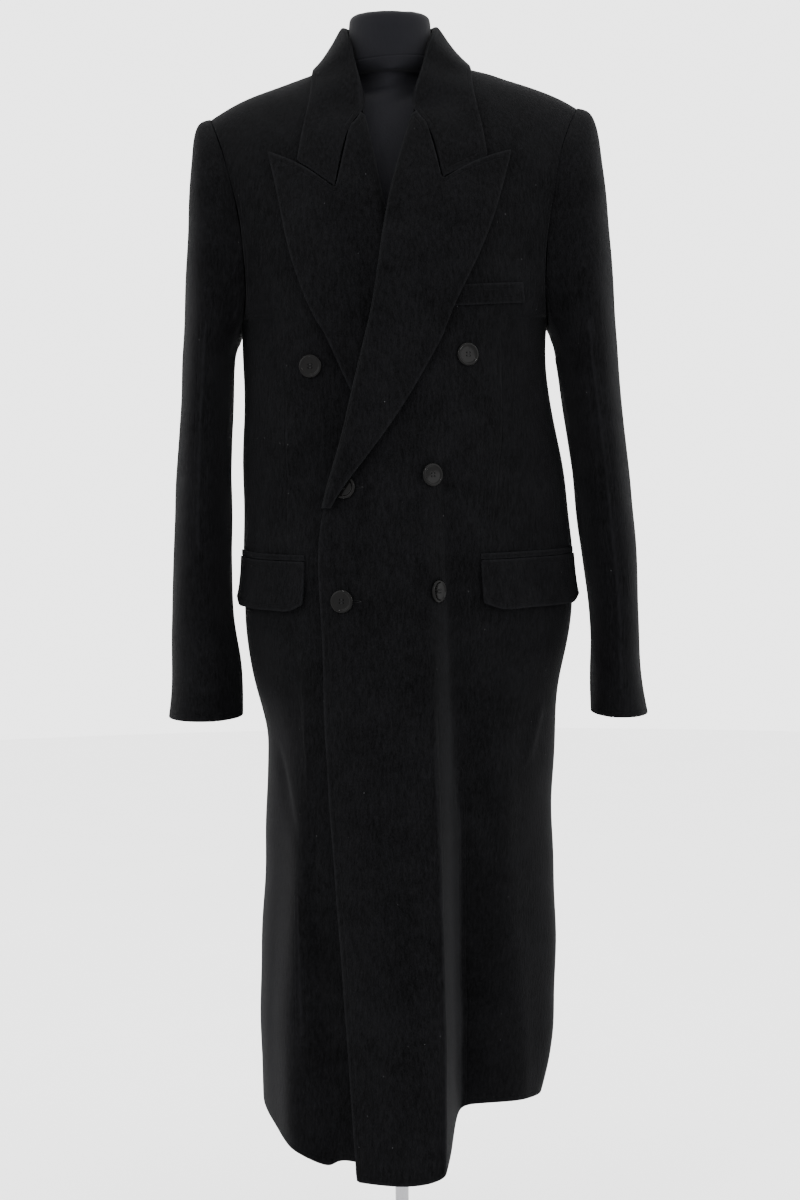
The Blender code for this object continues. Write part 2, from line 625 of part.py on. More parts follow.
def back_grid(side, lapped):
    """Places of a back's points: rows from the hem up, columns from the centre seam out."""
    sign = sign_of(side)
    hem_reach = body_half(side, LOW_Z)
    hem = [sign * back_x(share, hem_reach, 0.0) for share in BACK_COLUMNS]
    rows = [[(x, read(HEM, "x", "back", x)) for x in hem]]
    rows += [[(sign * back_x(share, body_half(side, z), 0.0), z) for share in BACK_COLUMNS] for z in LEVELS]
    for up in armhole_ups():
        row = []
        for share in BACK_COLUMNS:
            x = sign * back_x(share, abs(armhole_x(side, up, True)), up)
            row.append((x, mix(ARMPIT_Z, shoulder_z(x), up * mix(1.0, neck_share(x), up))))
        rows.append(row)
    if lapped:
        rows = [[(-sign * VENT_LAP, row[0][1])] + row for row in rows]
    return rows


def panel_walls(surface, grid):
    """Outer and inner points of a panel, kept half a seam's gap off the side and shoulder seams."""
    off_seam = np.array((0.0, SEAM_GAP / 2 * (1.0 if surface.startswith("back") else -1.0), 0.0))
    outer = [[point_on(surface, x, z) + off_seam for x, z in row] for row in grid]
    inner = [[lifted(surface, x, z, -CLOTH) + off_seam for x, z in row] for row in grid]
    return outer, inner


def add_front(side):
    outer, inner = panel_walls(side, front_grid(side))
    return add_wall(f"front_{side}", outer, inner, WOOL)


def add_back(side):
    """A back. The right one has the vent's underlap, only where it has stepped in."""
    surface = f"back_{side}"
    lapped = side == "right"
    outer, inner = panel_walls(surface, back_grid(side, lapped))
    off_seam = np.array((sign_of(side) * SEAM_GAP / 2, 0.0, 0.0))
    for rows in (outer, inner):
        for row in rows:
            row[int(lapped)] = row[int(lapped)] + off_seam
    left_out = set()
    if lapped:
        top_row = 1 + LEVELS.index(VENT_PUSHED_Z)
        left_out = {(row, 0) for row in range(top_row, len(outer) - 1)}
    return add_wall(surface, outer, inner, WOOL, left_out)


# Sleeves


def armhole_point(side, turn):
    """A point of the armhole seam: 0 at the shoulder, 90 in front, 180 at the armpit, 270 behind."""
    up = (1.0 + math.cos(math.radians(turn))) / 2.0
    behind = turn > 180
    x = armhole_x(side, up, behind)
    z = mix(ARMPIT_Z, shoulder_z(x), up)
    if turn in (0, 180):
        return np.array((x, SIDE_Y, z))
    return point_on(f"back_{side}" if behind else side, x, z)


def tube_point(side, turn, z):
    """A point of the sleeve's tube at a level."""
    out, inside = read(SLEEVE, "z", f"{side}_out", z), read(SLEEVE, "z", f"{side}_in", z)
    fore, aft = read(SLEEVE, "z", "fore", z), read(SLEEVE, "z", "aft", z)
    swing = math.radians(turn)
    x = (out + inside) / 2 + (out - inside) / 2 * math.cos(swing)
    y = (fore + aft) / 2 + (fore - aft) / 2 * math.sin(swing)
    return np.array((sign_of(side) * x, y, z))


def cap_line(side, turn):
    """The sleeve's line from the armhole seam down to its first full ring."""
    sign = sign_of(side)
    fore = math.sin(math.radians(turn))
    top = (1.0 + math.cos(math.radians(turn))) / 2.0
    start = armhole_point(side, turn) + np.array((sign * SEAM_GAP * 2, 0.0, 0.0))
    end = tube_point(side, turn, CAP_Z)
    height = start[2] - end[2]
    leave = start + np.array(
        (sign * mix(0.004, CAP_REACH, top**0.6), -0.012 * fore, -0.004 - 0.25 * height * (1.0 - top))
    )
    arrive = end + np.array((-sign * CAP_LEAN[side] * top, -0.002 * fore, height * mix(0.35, 0.96, top)))
    points = []
    for t in CAP_ROWS:
        s = 1.0 - t
        points.append(s**3 * start + 3 * s * s * t * leave + 3 * s * t * t * arrive + t**3 * end)
    return points


def sleeve_turns():
    return [180.0 * i / ARMHOLE_STEPS for i in range(2 * ARMHOLE_STEPS)]


def sleeve_rings(side):
    """Rings of the whole sleeve, from the armhole to the cuff, each a closed row of points."""
    lines = []
    for turn in sleeve_turns():
        lines.append(cap_line(side, turn) + [tube_point(side, turn, z) for z in TUBE_ROWS])
    return [list(ring) for ring in zip(*lines)]


def ring_normals(rings, side):
    """Outward unit normals of a tube's rings, from each point's neighbours."""
    count = len(rings[0])
    normals = []
    for r, ring in enumerate(rings):
        above, below = rings[max(r - 1, 0)], rings[min(r + 1, len(rings) - 1)]
        row = []
        for c in range(count):
            along = ring[(c + 1) % count] - ring[c - 1]
            row.append(unit(np.cross(along, below[c] - above[c])) * sign_of(side))
        normals.append(row)
    return normals


def armhole_inward(side, turn):
    """Which way the sleeve's thickness lies at the armhole: into it, and sideways at the armpit."""
    top = (1.0 + math.cos(math.radians(turn))) / 2.0
    sideways = smooth_step((0.5 - top) / 0.45)
    point = armhole_point(side, turn)
    middle_z = mix(ARMPIT_Z, armhole_point(side, 0)[2], 0.5)
    inward = unit(np.array((point[0], SIDE_Y, middle_z)) - point)
    return unit(inward * (1.0 - sideways) + np.array((sign_of(side) * sideways, 0.0, 0.0)))


def add_sleeve(side):
    """The upper and the under sleeve, cut from one tube along the front and back seams."""
    rings = sleeve_rings(side)
    normals = ring_normals(rings, side)
    count = len(rings[0])
    thick = []
    for ring, line in zip(rings, normals):
        thick.append([point - normal * CLOTH for point, normal in zip(ring, line)])
    thick[0] = [point + armhole_inward(side, turn) * CLOTH for point, turn in zip(rings[0], sleeve_turns())]
    halves = {
        "under": list(range(SLEEVE_FRONT_SEAM, SLEEVE_BACK_SEAM + 1)),
        "upper": list(range(SLEEVE_BACK_SEAM, count)) + list(range(0, SLEEVE_FRONT_SEAM + 1)),
    }
    for half, columns in halves.items():
        walls = []
        for grid in (rings, thick):
            rows = []
            for ring, outer_ring in zip(grid, rings):
                row = [ring[c] for c in columns]
                start = unit(outer_ring[columns[1]] - outer_ring[columns[0]])
                end = unit(outer_ring[columns[-2]] - outer_ring[columns[-1]])
                row[0] = row[0] + start * SEAM_GAP / 2
                row[-1] = row[-1] + end * SEAM_GAP / 2
                rows.append(row)
            walls.append(rows)
        add_wall(f"sleeve_{side}_{half}", walls[0], walls[1], WOOL)


# Lapels


def edge_frame(side, z):
    """A front's edge at a level, between the panel's own points: place, normal, and way into the panel."""
    rows = front_grid(side)
    levels = [row[0][1] for row in rows]
    i = min(int(np.searchsorted(levels, z, side="right")), len(levels) - 1) - 1
    share = (z - levels[i]) / (levels[i + 1] - levels[i])
    low, high = rows[i], rows[i + 1]
    point, beside = (mix(point_on(side, *low[c]), point_on(side, *high[c]), share) for c in (0, 1))
    normal = mix(normal_on(side, *low[0]), normal_on(side, *high[0]), share)
    return point, normal, unit(beside - point)


def lapel_lift(side, z):
    """The lapel lies close on the front, and stands off it near the break, over the tucked button."""
    low = 1.0 - smooth_step((z - BREAK_LIFT_Z[0]) / (BREAK_LIFT_Z[1] - BREAK_LIFT_Z[0]))
    return LAPEL_LIFT + BREAK_LIFT[side] * low


def lapel_levels(side):
    """Levels of a lapel's rows at the roll line: its ends, and the front's own rows between them."""
    foot, top = LAPEL_FOOT_Z[side], LAPEL_TOP[0][f"{side}_z"]
    between = [row[0][1] for row in front_grid(side) if foot < row[0][1] < top]
    return [foot] + between + [top]


def lapel_row(side, level):
    """Outer and inner points of one row of a lapel, from its return inside, round the roll, to its edge."""
    foot, top = LAPEL_FOOT_Z[side], LAPEL_TOP[0][f"{side}_z"]
    sign = sign_of(side)
    base, out, into = edge_frame(side, level)
    extra = lapel_lift(side, level) - LAPEL_LIFT
    outer, inner = [], []
    for step in ROLL_TURN:
        for face, points in (("outer", outer), ("inner", inner)):
            points.append(base + into * step[face][0] + out * (step[face][1] + extra * step["rise"]))
    for mark in LAPEL_TOP[1:]:
        z = mix(foot, mark[f"{side}_z"], (level - foot) / (top - foot))
        x = mix(read(EDGE, "z", side, z) + sign * LAPEL_START, read(LAPEL_EDGE, "z", side, z), mark["share"])
        swell = ROLL_SWELL * (1.0 - smooth_step(mark["share"] / ROLL_SWELL_SHARE))
        lift = lapel_lift(side, z)
        outer.append(lifted(side, x, z, lift + LAPEL + swell))
        inner.append(lifted(side, x, z, lift))
    return outer, inner


def add_lapel(side):
    rows = [lapel_row(side, level) for level in lapel_levels(side)]
    return add_wall(f"lapel_{side}", [row[0] for row in rows], [row[1] for row in rows], WOOL)


# Collar


def neckline_foot(side, station):
    """The point of the body's neckline that carries a collar station."""
    if station["kind"] == "roll":
        return edge_frame(side, station["foot_z"])[0]
    top_row = [point_on(f"back_{side}", x, z) for x, z in back_grid(side, False)[-1]]
    outs = [abs(point[0]) for point in top_row]
    return np.array([np.interp(station["foot_x"], outs, [point[i] for point in top_row]) for i in range(3)])


def stand_section(side, station):
    """The collar stand's foot and top on its outer face, and the level way out from the neck."""
    foot = neckline_foot(side, station) + UP * FOOT_GAP
    if foot[0]:
        foot[0] -= math.copysign(SEAM_GAP * 2, foot[0])
    out = unit(np.array((foot[0], foot[1] - FORM_NECK_Y, 0.0)))
    return foot, foot + UP * station["rise"] - out * station["lean"], out


def fall_edge_place(side, station):
    """Where the fall's outer edge lies, across and up."""
    x, z = station["edge"]
    if side == "right" and x:
        x, z = x - RIGHT_COLLAR_IN, z - RIGHT_COLLAR_DOWN
    x *= sign_of(side)
    return x, min(z, shoulder_z(x) - PROBE)


def fall_section(side, station):
    """Outer and inner points of the fall at a station, from its inner edge over the fold and out."""
    edge = fall_edge_place(side, station)
    if station["kind"] == "low":
        x, z = station[side]
        places = [(mix(sign_of(side) * x, edge[0], share), mix(z, edge[1], share)) for share in LOW_SHARES]
        outer = [lifted(side, *place, FALL_LIFT + COLLAR) for place in places]
        return outer, [lifted(side, *place, FALL_LIFT) for place in places]
    surface = side if station["kind"] == "roll" else f"back_{side}"
    _, top, out = stand_section(side, station)
    fold = station.get("fold", 1.0)
    level_way = (lifted(surface, *edge, FALL_LIFT) - top) * np.array((1.0, 1.0, 0.0))
    fall_way = unit(mix(unit(level_way), out, fold))
    start = top + UP * SEAM_GAP - fall_way * COLLAR
    faces = []
    for face, lift in (("outer", FALL_LIFT + COLLAR), ("inner", FALL_LIFT)):
        points = []
        for soft, full in zip(SOFT_TURN, FOLD_TURN):
            away, up = (mix(soft[face][i], full[face][i], fold) for i in (0, 1))
            points.append(start + fall_way * away + UP * up)
        bend, end = points[-1], lifted(surface, *edge, lift)
        middle = mix(bend, end, 0.5) - UP * FALL_SAG * (bend[2] - end[2])
        for share in FALL_SHARES:
            left = 1.0 - share
            points.append(left * left * bend + 2 * left * share * middle + share * share * end)
        faces.append(points + [end])
    return faces


def round_the_neck(stations):
    """Stations from the left gorge round the nape to the right gorge."""
    return [("left", station) for station in stations] + [("right", station) for station in stations[-2::-1]]


def add_collar_stand():
    outer, inner = [], []
    for side, station in round_the_neck([row for row in COLLAR_STATIONS if row["kind"] != "low"]):
        foot, top, out = stand_section(side, station)
        outer.append([mix(foot, top, share) for share in (0.0, 0.5, 1.0)])
        inner.append([point - out * COLLAR for point in outer[-1]])
    return add_wall("collar_stand", outer, inner, WOOL)


def add_collar_fall():
    sections = [fall_section(side, station) for side, station in round_the_neck(COLLAR_STATIONS)]
    return add_wall("collar_fall", [pair[0] for pair in sections], [pair[1] for pair in sections], WOOL)


# Pockets


def round_body(side, angle, z, out):
    """A point at an angle round the body from the middle of the front."""
    return lifted(side, sign_of(side) * body_half(side, z) * math.sin(math.radians(angle)), z, out)


def add_flap(side):
    """A pocket flap: it lies on the front, kicks out a little below and has rounded lower corners."""
    start, end = FLAP_ANGLES[side]
    outer, inner = [], []
    for r in range(FLAP_ROWS + 1):
        down = r / FLAP_ROWS
        lift = LAY_GAP + FLAP_KICK * down**1.5
        outer.append([])
        inner.append([])
        for c in range(FLAP_COLUMNS + 1):
            share = c / FLAP_COLUMNS
            corner = FLAP_CORNER * down**3 * abs(2 * share - 1) ** 10
            z = mix(FLAP_TOP_Z, FLAP_BOTTOM_Z, down) + corner
            outer[-1].append(round_body(side, mix(start, end, share), z, lift + FLAP))
            inner[-1].append(round_body(side, mix(start, end, share), z, lift))
    return add_wall(f"pocket_flap_{side}", outer, inner, WOOL)


def add_jet(side):
    """The narrow strip that edges the pocket's mouth above its flap."""
    start, end = FLAP_ANGLES[side]
    angles = [mix(start, end, c / FLAP_COLUMNS) for c in range(FLAP_COLUMNS + 1)]
    levels = (JET_TOP_Z, JET_BOTTOM_Z)
    outer = [[round_body(side, angle, z, LAY_GAP + JET) for angle in angles] for z in levels]
    inner = [[round_body(side, angle, z, LAY_GAP) for angle in angles] for z in levels]
    return add_wall(f"pocket_jet_{side}", outer, inner, WOOL)


def add_breast_welt():
    """The welt of the chest pocket, whose inner end goes under the lapel."""
    outer, inner = [], []
    for rise in (WELT_HEIGHT, 0.0):
        places = []
        for c in range(WELT_COLUMNS + 1):
            share = c / WELT_COLUMNS
            places.append((mix(*WELT_X, share), mix(*WELT_LOW_Z, share) + rise))
        outer.append([lifted("left", x, z, LAY_GAP + JET) for x, z in places])
        inner.append([lifted("left", x, z, LAY_GAP) for x, z in places])
    return add_wall("breast_welt", outer, inner, WOOL)


# Buttons and other turned pieces


def mesh_of(guide, name):
    """The mesh that an object's modifiers give, with the object removed."""
    graph = bpy.context.evaluated_depsgraph_get()
    mesh = bpy.data.meshes.new_from_object(guide.evaluated_get(graph))
    mesh.name = name
    bpy.data.objects.remove(guide)
    return mesh


def turned_mesh(name, profile, sides):
    """A profile of (radius, height) pairs, top to bottom, spun round the Z axis."""
    outline = bpy.data.meshes.new(f"{name}_profile")
    points = [(radius, 0.0, height) for radius, height in profile]
    outline.from_pydata(points, [(i, i + 1) for i in range(len(points) - 1)], [])
    guide = bpy.data.objects.new(f"{name}_profile", outline)
    bpy.context.scene.collection.objects.link(guide)
    screw = guide.modifiers.new("Screw", "SCREW")
    screw.steps = sides
    screw.render_steps = sides
    screw.use_merge_vertices = True
    screw.merge_threshold = 0.00001
    return mesh_of(guide, name)


def button_mesh():
    """A round button with a raised rim and a dished middle, before its holes are cut."""
    rim_inside = BUTTON_RADIUS - BUTTON_RIM
    profile = (
        (0.0, BUTTON_THICK - BUTTON_DISH),
        (rim_inside - BUTTON_BEVEL, BUTTON_THICK - BUTTON_DISH),
        (rim_inside + BUTTON_BEVEL, BUTTON_THICK),
        (BUTTON_RADIUS - BUTTON_BEVEL, BUTTON_THICK),
        (BUTTON_RADIUS, BUTTON_THICK - 2 * BUTTON_BEVEL),
        (BUTTON_RADIUS - 2 * BUTTON_BEVEL, 0.0),
        (0.0, 0.0),
    )
    return turned_mesh("button", profile, BUTTON_SIDES)


def hole_cutter():
    """Four small rods that cut the sewing holes."""
    work = bmesh.new()
    for i in range(BUTTON_HOLES):
        swing = math.tau * (i + 0.5) / BUTTON_HOLES
        spot = Vector((math.cos(swing), math.sin(swing), 0.0)) * BUTTON_HOLE_OUT
        bmesh.ops.create_cone(
            work, cap_ends=True, segments=8, radius1=BUTTON_HOLE, radius2=BUTTON_HOLE,
            depth=4 * BUTTON_THICK, matrix=Matrix.Translation(spot),
        )
    mesh = bpy.data.meshes.new("button_holes")
    work.to_mesh(mesh)
    work.free()
    cutter = bpy.data.objects.new("button_holes", mesh)
    cutter.hide_render = True
    cutter.display_type = "WIRE"
    bpy.data.collections["cutters"].objects.link(cutter)
    return cutter


def drilled_button_mesh():
    blank = bpy.data.objects.new("button_blank", button_mesh())
    bpy.context.scene.collection.objects.link(blank)
    cut = blank.modifiers.new("Holes", "BOOLEAN")
    cut.operation = "DIFFERENCE"
    cut.solver = "EXACT"
    cut.object = hole_cutter()
    return mesh_of(blank, "four_hole_button")


def seat_height(surface, x, z):
    """How far the cloth round a button stands out of its tangent plane."""
    centre, normal = point_on(surface, x, z), normal_on(surface, x, z)
    heights = [0.0]
    for i in range(SEAT_PROBES):
        swing = math.tau * i / SEAT_PROBES
        spot = point_on(surface, x + BUTTON_RADIUS * math.cos(swing), z + BUTTON_RADIUS * math.sin(swing))
        heights.append((spot - centre).dot(normal))
    return max(heights)


def add_buttons():
    mesh = drilled_button_mesh()
    for row in BUTTONS:
        place = (row["front"], row["x"], row["z"])
        piece = add_piece(row["name"], mesh, HORN)
        height = seat_height(*place) + LAY_GAP - row.get("sink", 0.0)
        piece.location = Vector(lifted(*place, height))
        piece.rotation_euler = Vector(normal_on(*place)).to_track_quat("Z", "Y").to_euler()


# The dress form and its stand


def form_tilt(half):
    """Lean of the form's shoulders, so that both sides carry the coat."""
    return (shoulder_z(half) - shoulder_z(-half)) / (2 * half)


def form_ring(row, middle_y, middle_z, tilt):
    """A ring of the form: half an oval before the middle and behind it, deeper where the neck stands."""
    ring = []
    for i in range(FORM_SIDES):
        swing = math.tau * i / FORM_SIDES
        x = row["half"] * math.cos(swing)
        face = "front" if math.sin(swing) < 0 else "back"
        depth = row[face] + row.get(f"{face}_neck", 0.0) * math.exp(-((x / NECK_LOBE) ** 2))
        ring.append((x, middle_y + depth * math.sin(swing), middle_z + tilt * x))
    return ring


def add_form_torso():
    """The padded torso with its neck: a loft of rings, closed at both ends."""
    rings = []
    full_tilt = form_tilt(FORM_SHOULDERS[0]["half"])
    for z, half, front, back in zip(*FORM_BODY.values()):
        tilt = full_tilt * smooth_step((z - LEAN_FROM_Z) / LEAN_OVER)
        rings.append(form_ring({"half": half, "front": front, "back": back}, FORM_Y, z, tilt))
    for row in FORM_SHOULDERS:
        middle = (shoulder_z(row["half"]) + shoulder_z(-row["half"])) / 2 - FORM_REST
        rings.append(form_ring(row, FORM_Y, middle, form_tilt(row["half"])))
    rings += [form_ring(row, FORM_NECK_Y, row["z"], 0.0) for row in FORM_NECK]
    work = bmesh.new()
    loops = [[work.verts.new(point) for point in ring] for ring in rings]
    for low, high in zip(loops, loops[1:]):
        for i in range(FORM_SIDES):
            j = (i + 1) % FORM_SIDES
            work.faces.new((low[i], low[j], high[j], high[i]))
    work.faces.new(list(reversed(loops[0])))
    work.faces.new(loops[-1])
    mesh = bpy.data.meshes.new("form_torso")
    work.to_mesh(mesh)
    work.free()
    return add_piece("form_torso", mesh, JERSEY)


def add_neck_knob():
    """The small covered knob where the jersey is gathered on top of the neck."""
    profile = (
        (0.0, KNOB_HEIGHT),
        (KNOB_RADIUS * 0.45, KNOB_HEIGHT * 0.88),
        (KNOB_RADIUS * 0.80, KNOB_HEIGHT * 0.48),
        (KNOB_RADIUS, 0.0),
        (0.0, 0.0),
    )
    piece = add_piece("form_neck_knob", turned_mesh("form_neck_knob", profile, BUTTON_SIDES), JERSEY)
    piece.location = (KNOB_X, FORM_NECK_Y, FORM_NECK[-1]["z"] + SEAM_GAP)


def add_stand():
    pole_foot = SOCKET_TOP_Z + SEAM_GAP
    pole = ((0.0, POLE_TOP_Z), (POLE_RADIUS, POLE_TOP_Z), (POLE_RADIUS, pole_foot), (0.0, pole_foot))
    base = (
        (0.0, SOCKET_TOP_Z),
        (SOCKET_RADIUS - SOCKET_BEVEL, SOCKET_TOP_Z),
        (SOCKET_RADIUS, SOCKET_TOP_Z - SOCKET_BEVEL),
        (SOCKET_RADIUS, BASE_THICK),
        (BASE_RADIUS - BASE_BEVEL, BASE_THICK),
        (BASE_RADIUS, BASE_THICK - BASE_BEVEL),
        (BASE_RADIUS, 0.0),
        (0.0, 0.0),
    )
    add_piece("stand_pole", turned_mesh("stand_pole", pole, TURNED_SIDES // 2), STEEL)
    add_piece("stand_base", turned_mesh("stand_base", base, TURNED_SIDES), STEEL)


def clear_scene():
    for thing in list(bpy.context.scene.objects):
        bpy.data.objects.remove(thing)
    for name in ("overcoat_on_dress_form", "cutters"):
        bpy.context.scene.collection.children.link(bpy.data.collections.new(name))


def main():
    clear_scene()
    for side in ("left", "right"):
        add_front(side)
        add_back(side)
        add_sleeve(side)
        add_lapel(side)
        add_flap(side)
        add_jet(side)
    add_collar_stand()
    add_collar_fall()
    add_breast_welt()
    add_buttons()
    add_form_torso()
    add_neck_knob()
    add_stand()


main()
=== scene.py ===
"""Looks of a long double-breasted overcoat on a limbless dress form, laid out as a Blender add-on."""

import json
import math

import bmesh
import bpy
import numpy as np
from mathutils import Euler, Matrix, Vector
from mathutils.kdtree import KDTree

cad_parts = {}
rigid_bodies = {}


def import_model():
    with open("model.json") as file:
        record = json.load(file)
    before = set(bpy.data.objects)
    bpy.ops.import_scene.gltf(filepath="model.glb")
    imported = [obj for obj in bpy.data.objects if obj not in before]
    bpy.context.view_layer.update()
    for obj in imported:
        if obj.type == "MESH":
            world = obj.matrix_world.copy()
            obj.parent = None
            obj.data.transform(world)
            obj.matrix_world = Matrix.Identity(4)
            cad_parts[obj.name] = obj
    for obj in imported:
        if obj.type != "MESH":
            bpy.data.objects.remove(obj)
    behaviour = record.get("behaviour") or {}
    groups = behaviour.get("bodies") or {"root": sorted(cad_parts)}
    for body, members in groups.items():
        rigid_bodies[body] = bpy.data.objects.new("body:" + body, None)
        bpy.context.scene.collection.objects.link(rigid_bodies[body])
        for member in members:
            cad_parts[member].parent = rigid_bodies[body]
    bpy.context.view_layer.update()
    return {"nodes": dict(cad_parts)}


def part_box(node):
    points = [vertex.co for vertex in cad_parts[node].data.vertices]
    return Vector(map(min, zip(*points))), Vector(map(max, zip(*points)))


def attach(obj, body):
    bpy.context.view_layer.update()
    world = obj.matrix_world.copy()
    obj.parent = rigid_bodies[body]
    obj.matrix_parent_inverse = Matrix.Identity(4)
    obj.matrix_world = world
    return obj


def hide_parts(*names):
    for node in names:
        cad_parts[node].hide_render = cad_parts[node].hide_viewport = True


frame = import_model()

bl_info = {
    "name": "Overcoat on a dress form",
    "version": (1, 0, 0),
    "blender": (4, 5, 0),
    "location": "View3D > Sidebar > Overcoat",
    "description": "Builds the looks of a long double-breasted overcoat on a dress form",
    "category": "Object",
}

# The cut of each cloth piece: width and length as cut, area in square metres, how it is held and on what
CUTS = {
    "front_left": {"flat": (0.46, 1.25), "area": 0.41, "held": "hung", "on": "dress_form_torso"},
    "front_right": {"flat": (0.40, 1.25), "area": 0.355, "held": "hung", "on": "dress_form_torso"},
    "back_left": {"flat": (0.32, 1.23), "area": 0.30, "held": "hung", "on": "dress_form_torso"},
    "back_right": {"flat": (0.32, 1.23), "area": 0.30, "held": "hung", "on": "dress_form_torso"},
    "sleeve_left_upper": {"flat": (0.26, 0.68), "area": 0.146, "held": "hung", "on": "front_left_cloth"},
    "sleeve_left_under": {"flat": (0.14, 0.52), "area": 0.072, "held": "hung", "on": "back_left_cloth"},
    "sleeve_right_upper": {"flat": (0.26, 0.68), "area": 0.146, "held": "hung", "on": "front_right_cloth"},
    "sleeve_right_under": {"flat": (0.14, 0.52), "area": 0.072, "held": "hung", "on": "back_right_cloth"},
    "lapel_left": {"flat": (0.14, 0.45), "area": 0.040, "held": "folded", "on": "front_left_cloth"},
    "lapel_right": {"flat": (0.14, 0.45), "area": 0.040, "held": "folded", "on": "front_right_cloth"},
    "collar_stand": {"flat": (0.04, 0.25), "area": 0.0098, "held": "folded", "on": "back_left_cloth"},
    "collar_fall": {"flat": (0.09, 0.50), "area": 0.042, "held": "folded", "on": "back_left_cloth"},
    "pocket_flap_left": {"flat": (0.16, 0.056), "area": 0.0089, "held": "hung", "on": "front_left_cloth"},
    "pocket_flap_right": {"flat": (0.16, 0.056), "area": 0.0089, "held": "hung", "on": "front_right_cloth"},
    "pocket_jet_left": {"flat": (0.155, 0.012), "area": 0.00098, "held": "folded", "on": "front_left_cloth"},
    "pocket_jet_right": {"flat": (0.155, 0.012), "area": 0.00098, "held": "folded", "on": "front_right_cloth"},
    "breast_welt": {"flat": (0.091, 0.022), "area": 0.0020, "held": "folded", "on": "front_left_cloth"},
}

BUTTONS = (
    "button_right_top", "button_right_middle", "button_right_bottom",
    "button_left_top", "button_left_middle", "button_left_bottom",
)

# Creases of the fronts, as seen from before: from and to are (x, z), a height below 0 is a trough
FRONT_CREASES = (
    {"from": (-0.103, 0.760), "to": (-0.134, 0.080), "width": 0.014, "height": 0.0026},
    {"from": (-0.140, 0.700), "to": (-0.108, 0.580), "width": 0.0075, "height": -0.0026},
    {"from": (0.166, 0.735), "to": (0.146, 0.655), "width": 0.0065, "height": 0.0026},
    {"from": (0.118, 0.790), "to": (0.146, 0.080), "width": 0.018, "height": 0.0028},
    {"from": (-0.060, 0.800), "to": (-0.066, 0.060), "width": 0.020, "height": -0.0026},
    {"from": (0.154, 1.270), "to": (0.118, 1.120), "width": 0.012, "height": -0.0022},
    {"from": (-0.156, 1.260), "to": (-0.124, 1.130), "width": 0.011, "height": -0.0020},
    {"from": (0.062, 0.985), "to": (0.160, 1.035), "width": 0.010, "height": -0.0014},
    {"from": (-0.070, 0.965), "to": (-0.156, 1.010), "width": 0.011, "height": -0.0015},
    {"from": (0.086, 0.760), "to": (0.100, 0.560), "width": 0.010, "height": -0.0016},
    {"from": (-0.020, 0.800), "to": (0.000, 0.420), "width": 0.014, "height": 0.0012},
)

# Creases of the backs, as (x, z) too, for the side that the photo doesn't show
BACK_CREASES = (
    {"from": (0.060, 0.830), "to": (0.080, 0.060), "width": 0.021, "height": 0.0046},
    {"from": (-0.072, 0.860), "to": (-0.090, 0.060), "width": 0.019, "height": 0.0042},
    {"from": (0.112, 0.740), "to": (0.120, 0.060), "width": 0.013, "height": -0.0030},
    {"from": (-0.120, 0.720), "to": (-0.126, 0.060), "width": 0.014, "height": -0.0028},
    {"from": (0.146, 1.260), "to": (0.070, 1.120), "width": 0.012, "height": -0.0022},
    {"from": (-0.146, 1.250), "to": (-0.062, 1.100), "width": 0.013, "height": -0.0024},
    {"from": (0.020, 1.010), "to": (0.120, 0.975), "width": 0.010, "height": -0.0016},
    {"from": (-0.028, 0.995), "to": (-0.124, 1.000), "width": 0.010, "height": -0.0015},
)

# Creases of the sleeves: from and to are (way round from the front to the outside, z)
SLEEVE_CREASES = {
    "left": (
        {"from": (0.014, 1.332), "to": (-0.014, 1.262), "width": 0.0085, "height": -0.0030},
        {"from": (0.050, 1.300), "to": (0.036, 1.100), "width": 0.012, "height": 0.0016},
        {"from": (-0.030, 1.080), "to": (0.040, 1.040), "width": 0.0080, "height": -0.0022},
        {"from": (-0.030, 1.035), "to": (0.030, 1.012), "width": 0.0070, "height": -0.0017},
        {"from": (-0.026, 0.985), "to": (0.046, 0.960), "width": 0.0085, "height": -0.0015},
        {"from": (0.020, 0.960), "to": (0.012, 0.730), "width": 0.011, "height": 0.0018},
        {"from": (0.090, 1.200), "to": (0.100, 0.900), "width": 0.013, "height": -0.0018},
    ),
    "right": (
        {"from": (0.018, 1.318), "to": (-0.012, 1.246), "width": 0.0090, "height": -0.0026},
        {"from": (0.054, 1.280), "to": (0.040, 1.080), "width": 0.013, "height": 0.0017},
        {"from": (-0.030, 1.066), "to": (0.036, 1.030), "width": 0.0075, "height": -0.0020},
        {"from": (-0.028, 1.018), "to": (0.034, 0.992), "width": 0.0080, "height": -0.0018},
        {"from": (-0.030, 0.966), "to": (0.040, 0.948), "width": 0.0070, "height": -0.0014},
        {"from": (0.016, 0.940), "to": (0.020, 0.730), "width": 0.012, "height": 0.0017},
        {"from": (0.092, 1.180), "to": (0.098, 0.880), "width": 0.012, "height": -0.0017},
    ),
}

# The middle line of each sleeve, as (z, x, y)
SLEEVE_MIDDLES = {
    "left": ((0.75, 0.256, -0.032), (0.92, 0.246, -0.028), (1.05, 0.233, -0.017), (1.30, 0.207, 0.000)),
    "right": ((0.75, -0.226, -0.032), (0.92, -0.223, -0.028), (1.05, -0.217, -0.017), (1.30, -0.203, 0.000)),
}

# Front darts, as (z, x) from the foot up
DARTS = {
    "front_left": ((0.905, 0.1060), (1.023, 0.1205), (1.170, 0.1216)),
    "front_right": ((0.909, -0.1205), (1.104, -0.1204)),
}

